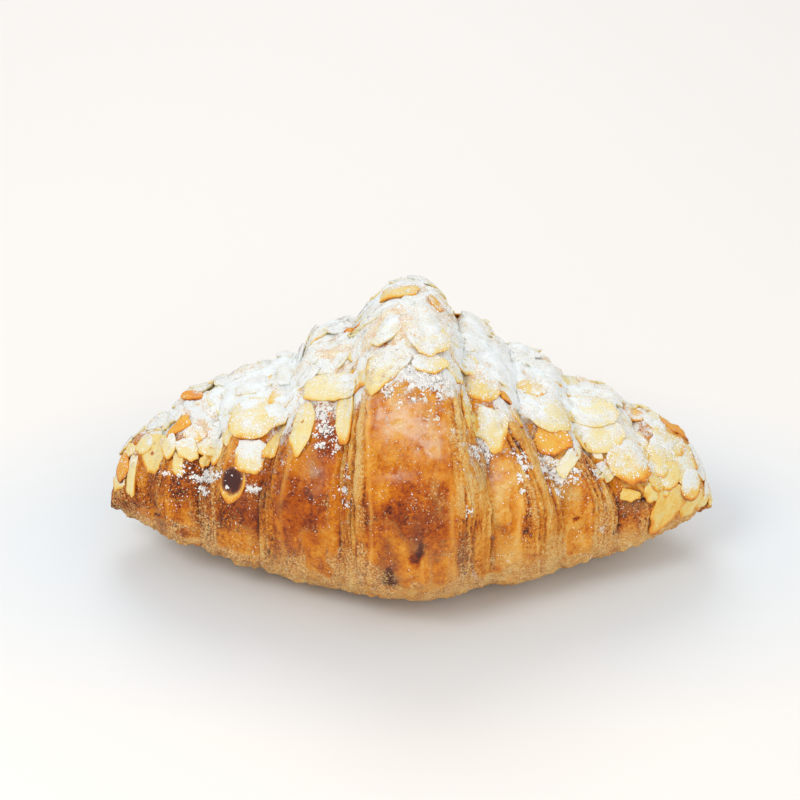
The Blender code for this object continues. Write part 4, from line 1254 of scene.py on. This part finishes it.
# A piece of many grains: tetrahedra with their corners moved, each at its middle, squashed
# against the surface below it; each is shaded as part of that surface, as powder is
def layGrains(name, material, middles, outward, sizes, chance):
    corners = np.array([(0.75, 0.75, 0.75), (-0.75, -0.75, 0.75), (-0.75, 0.75, -0.75), (0.75, -0.75, -0.75)])
    faces = np.array([(0, 2, 1), (0, 1, 3), (0, 3, 2), (1, 2, 3)])
    count = len(middles)
    shapes = corners[None] * chance.uniform(0.6, 1.4, (count, 4, 1)) + chance.normal(0, 0.2, (count, 4, 3))
    shapes -= 0.5 * (shapes * outward[:, None]).sum(-1, keepdims=True) * outward[:, None]
    points = (middles[:, None] + shapes * sizes[:, None, None]).reshape(-1, 3)
    normals = unit((outward[:, None] + 0.30 * shapes + (0, 0, 0.5)).reshape(-1, 3))
    allFaces = (faces[None] + (np.arange(count) * 4)[:, None, None]).reshape(-1, 3)
    piece = makePiece(name, points, allFaces, material, normals=normals)
    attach(piece, "root")
    print(name, count, "grains")


# Sugar on bare crust: heaps round the centres of each clump, their grains closer together and
# higher towards the middle, and loose grains, most near the top
def buildGrains(material):
    powder = sugarCover
    chance = np.random.default_rng(powder["grainSeed"])
    grains = []    # x mm, degrees, size from 0 to 1, height in a heap
    for place, angle, spreadAlong, spreadRound, count in powder["clumps"]:
        heaps = max(count // powder["heap"], 1)
        heapPlaces = place + chance.normal(0, spreadAlong, heaps) * 0.7
        heapAngles = angle + degreesRound(chance.normal(0, spreadRound, heaps) * 0.7)
        pick = chance.integers(0, heaps, count)
        reach = chance.gamma(1.6, powder["heapReach"], count) * chance.uniform(0.5, 1.3, heaps)[pick]
        way = chance.uniform(0, 2 * np.pi, count)
        size = chance.uniform(0.1, 1, count) ** 1.5
        pile = np.exp(-(reach / 0.6) ** 2) * chance.uniform(0, 0.5, count) * mm
        places = heapPlaces[pick] + reach * np.cos(way)
        degrees = heapAngles[pick] + degreesRound(reach * np.sin(way))
        grains.append([places, degrees, size, pile])
    loose = powder["loose"]
    places, sides = chance.uniform(-76, 76, loose), chance.choice([1, -1], loose, p=[0.6, 0.4])
    degrees = sides * (180 - np.abs(chance.normal(22, 40, loose).clip(-112, 112)))
    grains.append([places, degrees, chance.uniform(0, 0.8, loose) ** 4, np.zeros(loose)])
    x, degrees, size, pile = np.concatenate(grains, axis=1)
    x, angle = np.clip(x, -77, 77) * mm, np.radians(np.mod(degrees, 360))
    size = between(*powder["grainSizes"], size)
    wrap = wrapAt(x, angle)
    middle = crustPoint(wrap, angle)
    step = 0.03
    ahead = crustPoint(np.clip(wrap + step, -5, 5), angle) - middle
    outward = unit(np.cross(ahead, crustPoint(wrap, angle + step) - middle))
    height = size * chance.uniform(0.2, 0.8, len(x)) + chance.uniform(0, 0.5, len(x)) ** 2 * mm + pile
    layGrains("sugarGrains", material, middle + outward * height[:, None], outward, size, chance)


# Grains over faces of four corners: places drawn by area, by the share wanted and by how much
# each face looks up, each a mix of its face's corners
def dustFaces(name, material, faces, share, count, seed):
    chance = np.random.default_rng(seed)
    normal = np.cross(faces[:, 2] - faces[:, 0], faces[:, 3] - faces[:, 1])
    area = np.linalg.norm(normal, axis=-1)
    normal = unit(normal)
    weight = area * share * np.clip(normal[:, 2] + 0.2, 0, 1)
    pick = chance.choice(len(faces), count, p=weight / weight.sum())
    u, v = chance.random((2, count, 1))
    size = between(*sugarCover["grainSizes"], chance.uniform(0, 0.9, count) ** 2.5)
    middle = mixCorners(faces[pick], u, v) + normal[pick] * size[:, None] * 0.2
    layGrains(name, material, middle, normal[pick], size, chance)


studio = dict(
    # the near colour: the plate's white, cooled as painted shade against the crust's warm bounced light
    floorColour="F4F2EF", plateAndShadeColour="E5ECF1", floorSize=8.0, floorRoughness=0.6,
    nearStretch=(5.5, 10, 1),    # how fast the near colour ends, along X and towards the camera
    # name, place, height aimed at, size in metres, power in watts, colour
    lights=(
        ("keyLight", (-0.42, -0.42, 0.68), 0.03, 0.40, 2.2, (1.0, 0.99, 0.97)),
        ("frontFill", (0.25, -0.85, 0.45), 0.03, 0.7, 1.5, (1.0, 0.99, 0.98)),
        ("rightFill", (0.75, -0.35, 0.50), 0.03, 0.9, 1.1, (1.0, 0.99, 0.98)),
        ("backLight", (-0.1, 0.65, 0.75), 0.04, 0.6, 2.2, (1.0, 1.0, 0.99)),
    ),
    skyColour="F8F7F6", skyStrength=0.68,
    lensDistance=0.60, elevation=30, focalPixels=2268, imagePixels=800, sensorWidth=36,
    targetHeight=20 * mm, targetPixel=(411, 478),
)


# Pale floor: one colour near the part and another far off, by the distance from the middle,
# which is shorter along the part, and a slow noise; the near colour is a cool white, partly the
# plate and partly painted cool shade that cancels the warm light the crust bounces into its shadow
def buildFloor():
    material, tree, shader = newMaterial("paleFloor", {"Roughness": studio["floorRoughness"]})
    narrowed = addNode(tree, "ShaderNodeMapping")
    narrowed.inputs["Scale"].default_value = studio["nearStretch"]
    tree.links.new(addNode(tree, "ShaderNodeTexCoord").outputs["Object"], narrowed.inputs["Vector"])
    away = addNode(tree, "ShaderNodeVectorMath", operation="LENGTH")
    tree.links.new(narrowed.outputs[0], away.inputs[0])
    tone = NodeValue(away.outputs["Value"]) * 0.5 + noiseValue(tree, 3.0) * 0.1
    stops = ((0.30, studio["plateAndShadeColour"]), (0.50, studio["floorColour"]))
    finishShader(tree, shader, colourRamp(tree, tone, stops))
    half = studio["floorSize"] / 2
    corners = np.array([(-half, -half, 0), (half, -half, 0), (half, half, 0), (-half, half, 0)])
    makePiece("floor", corners, [(0, 1, 2, 3)], material)
    print("floor", studio["floorSize"], "m")


# Round lamps that each face a point over the middle of the floor, and an even sky
def buildLights():
    for name, place, aim, size, power, colour in studio["lights"]:
        light = bpy.data.lights.new(name, "AREA")
        light.shape = "DISK"
        light.size, light.energy, light.color = size, power, colour
        lamp = bpy.data.objects.new(name, light)
        lamp.location = place
        lamp.rotation_euler = (Vector((0, 0, aim)) - Vector(place)).to_track_quat("-Z", "Y").to_euler()
        bpy.context.scene.collection.objects.link(lamp)
    world = bpy.data.worlds.new("studioWorld")
    bpy.context.scene.world = world
    world.use_nodes = True
    background = world.node_tree.nodes["Background"]
    background.inputs["Color"].default_value = hexColour(studio["skyColour"])
    background.inputs["Strength"].default_value = studio["skyStrength"]
    print("lights", len(studio["lights"]))


# Camera at the photograph's angle: it looks down by the elevation, and stands aside so that the
# target falls on its pixel with no shift
def buildCamera():
    tilt = math.radians(studio["elevation"])
    back = Vector((0, -math.cos(tilt), math.sin(tilt)))
    right, up = Vector((1, 0, 0)), Vector((0, math.sin(tilt), math.cos(tilt)))
    scale = studio["lensDistance"] / studio["focalPixels"]
    middle = studio["imagePixels"] / 2
    place = Vector((0, 0, studio["targetHeight"])) + back * studio["lensDistance"]
    column, row = studio["targetPixel"]
    place += (right * (middle - column) + up * (row - middle)) * scale
    camera = bpy.data.objects.new("camera", bpy.data.cameras.new("camera"))
    camera.data.sensor_width = studio["sensorWidth"]
    camera.data.lens = studio["sensorWidth"] * studio["focalPixels"] / studio["imagePixels"]
    camera.matrix_world = Matrix.Translation(place) @ Matrix((right, up, back)).transposed().to_4x4()
    bpy.context.scene.collection.objects.link(camera)
    bpy.context.scene.camera = camera
    print("camera", studio["elevation"], "degrees up")


buildCrust()
*flakeTops, flakePlaces = buildFlakes()
driftTops = buildDrift(sugarMaterial("driftSugar", True), flakePlaces)
grainMaterial = sugarMaterial("grainSugar", False)
buildGrains(grainMaterial)
dustFaces("sugarDust", grainMaterial, *flakeTops, sugarCover["flakeGrains"], sugarCover["dustSeed"])
dustFaces("sugarCrumbs", grainMaterial, *driftTops, sugarCover["driftGrains"], sugarCover["crumbSeed"])
buildFloor()
buildLights()
buildCamera()
bpy.context.scene.view_settings.view_transform = "Standard"
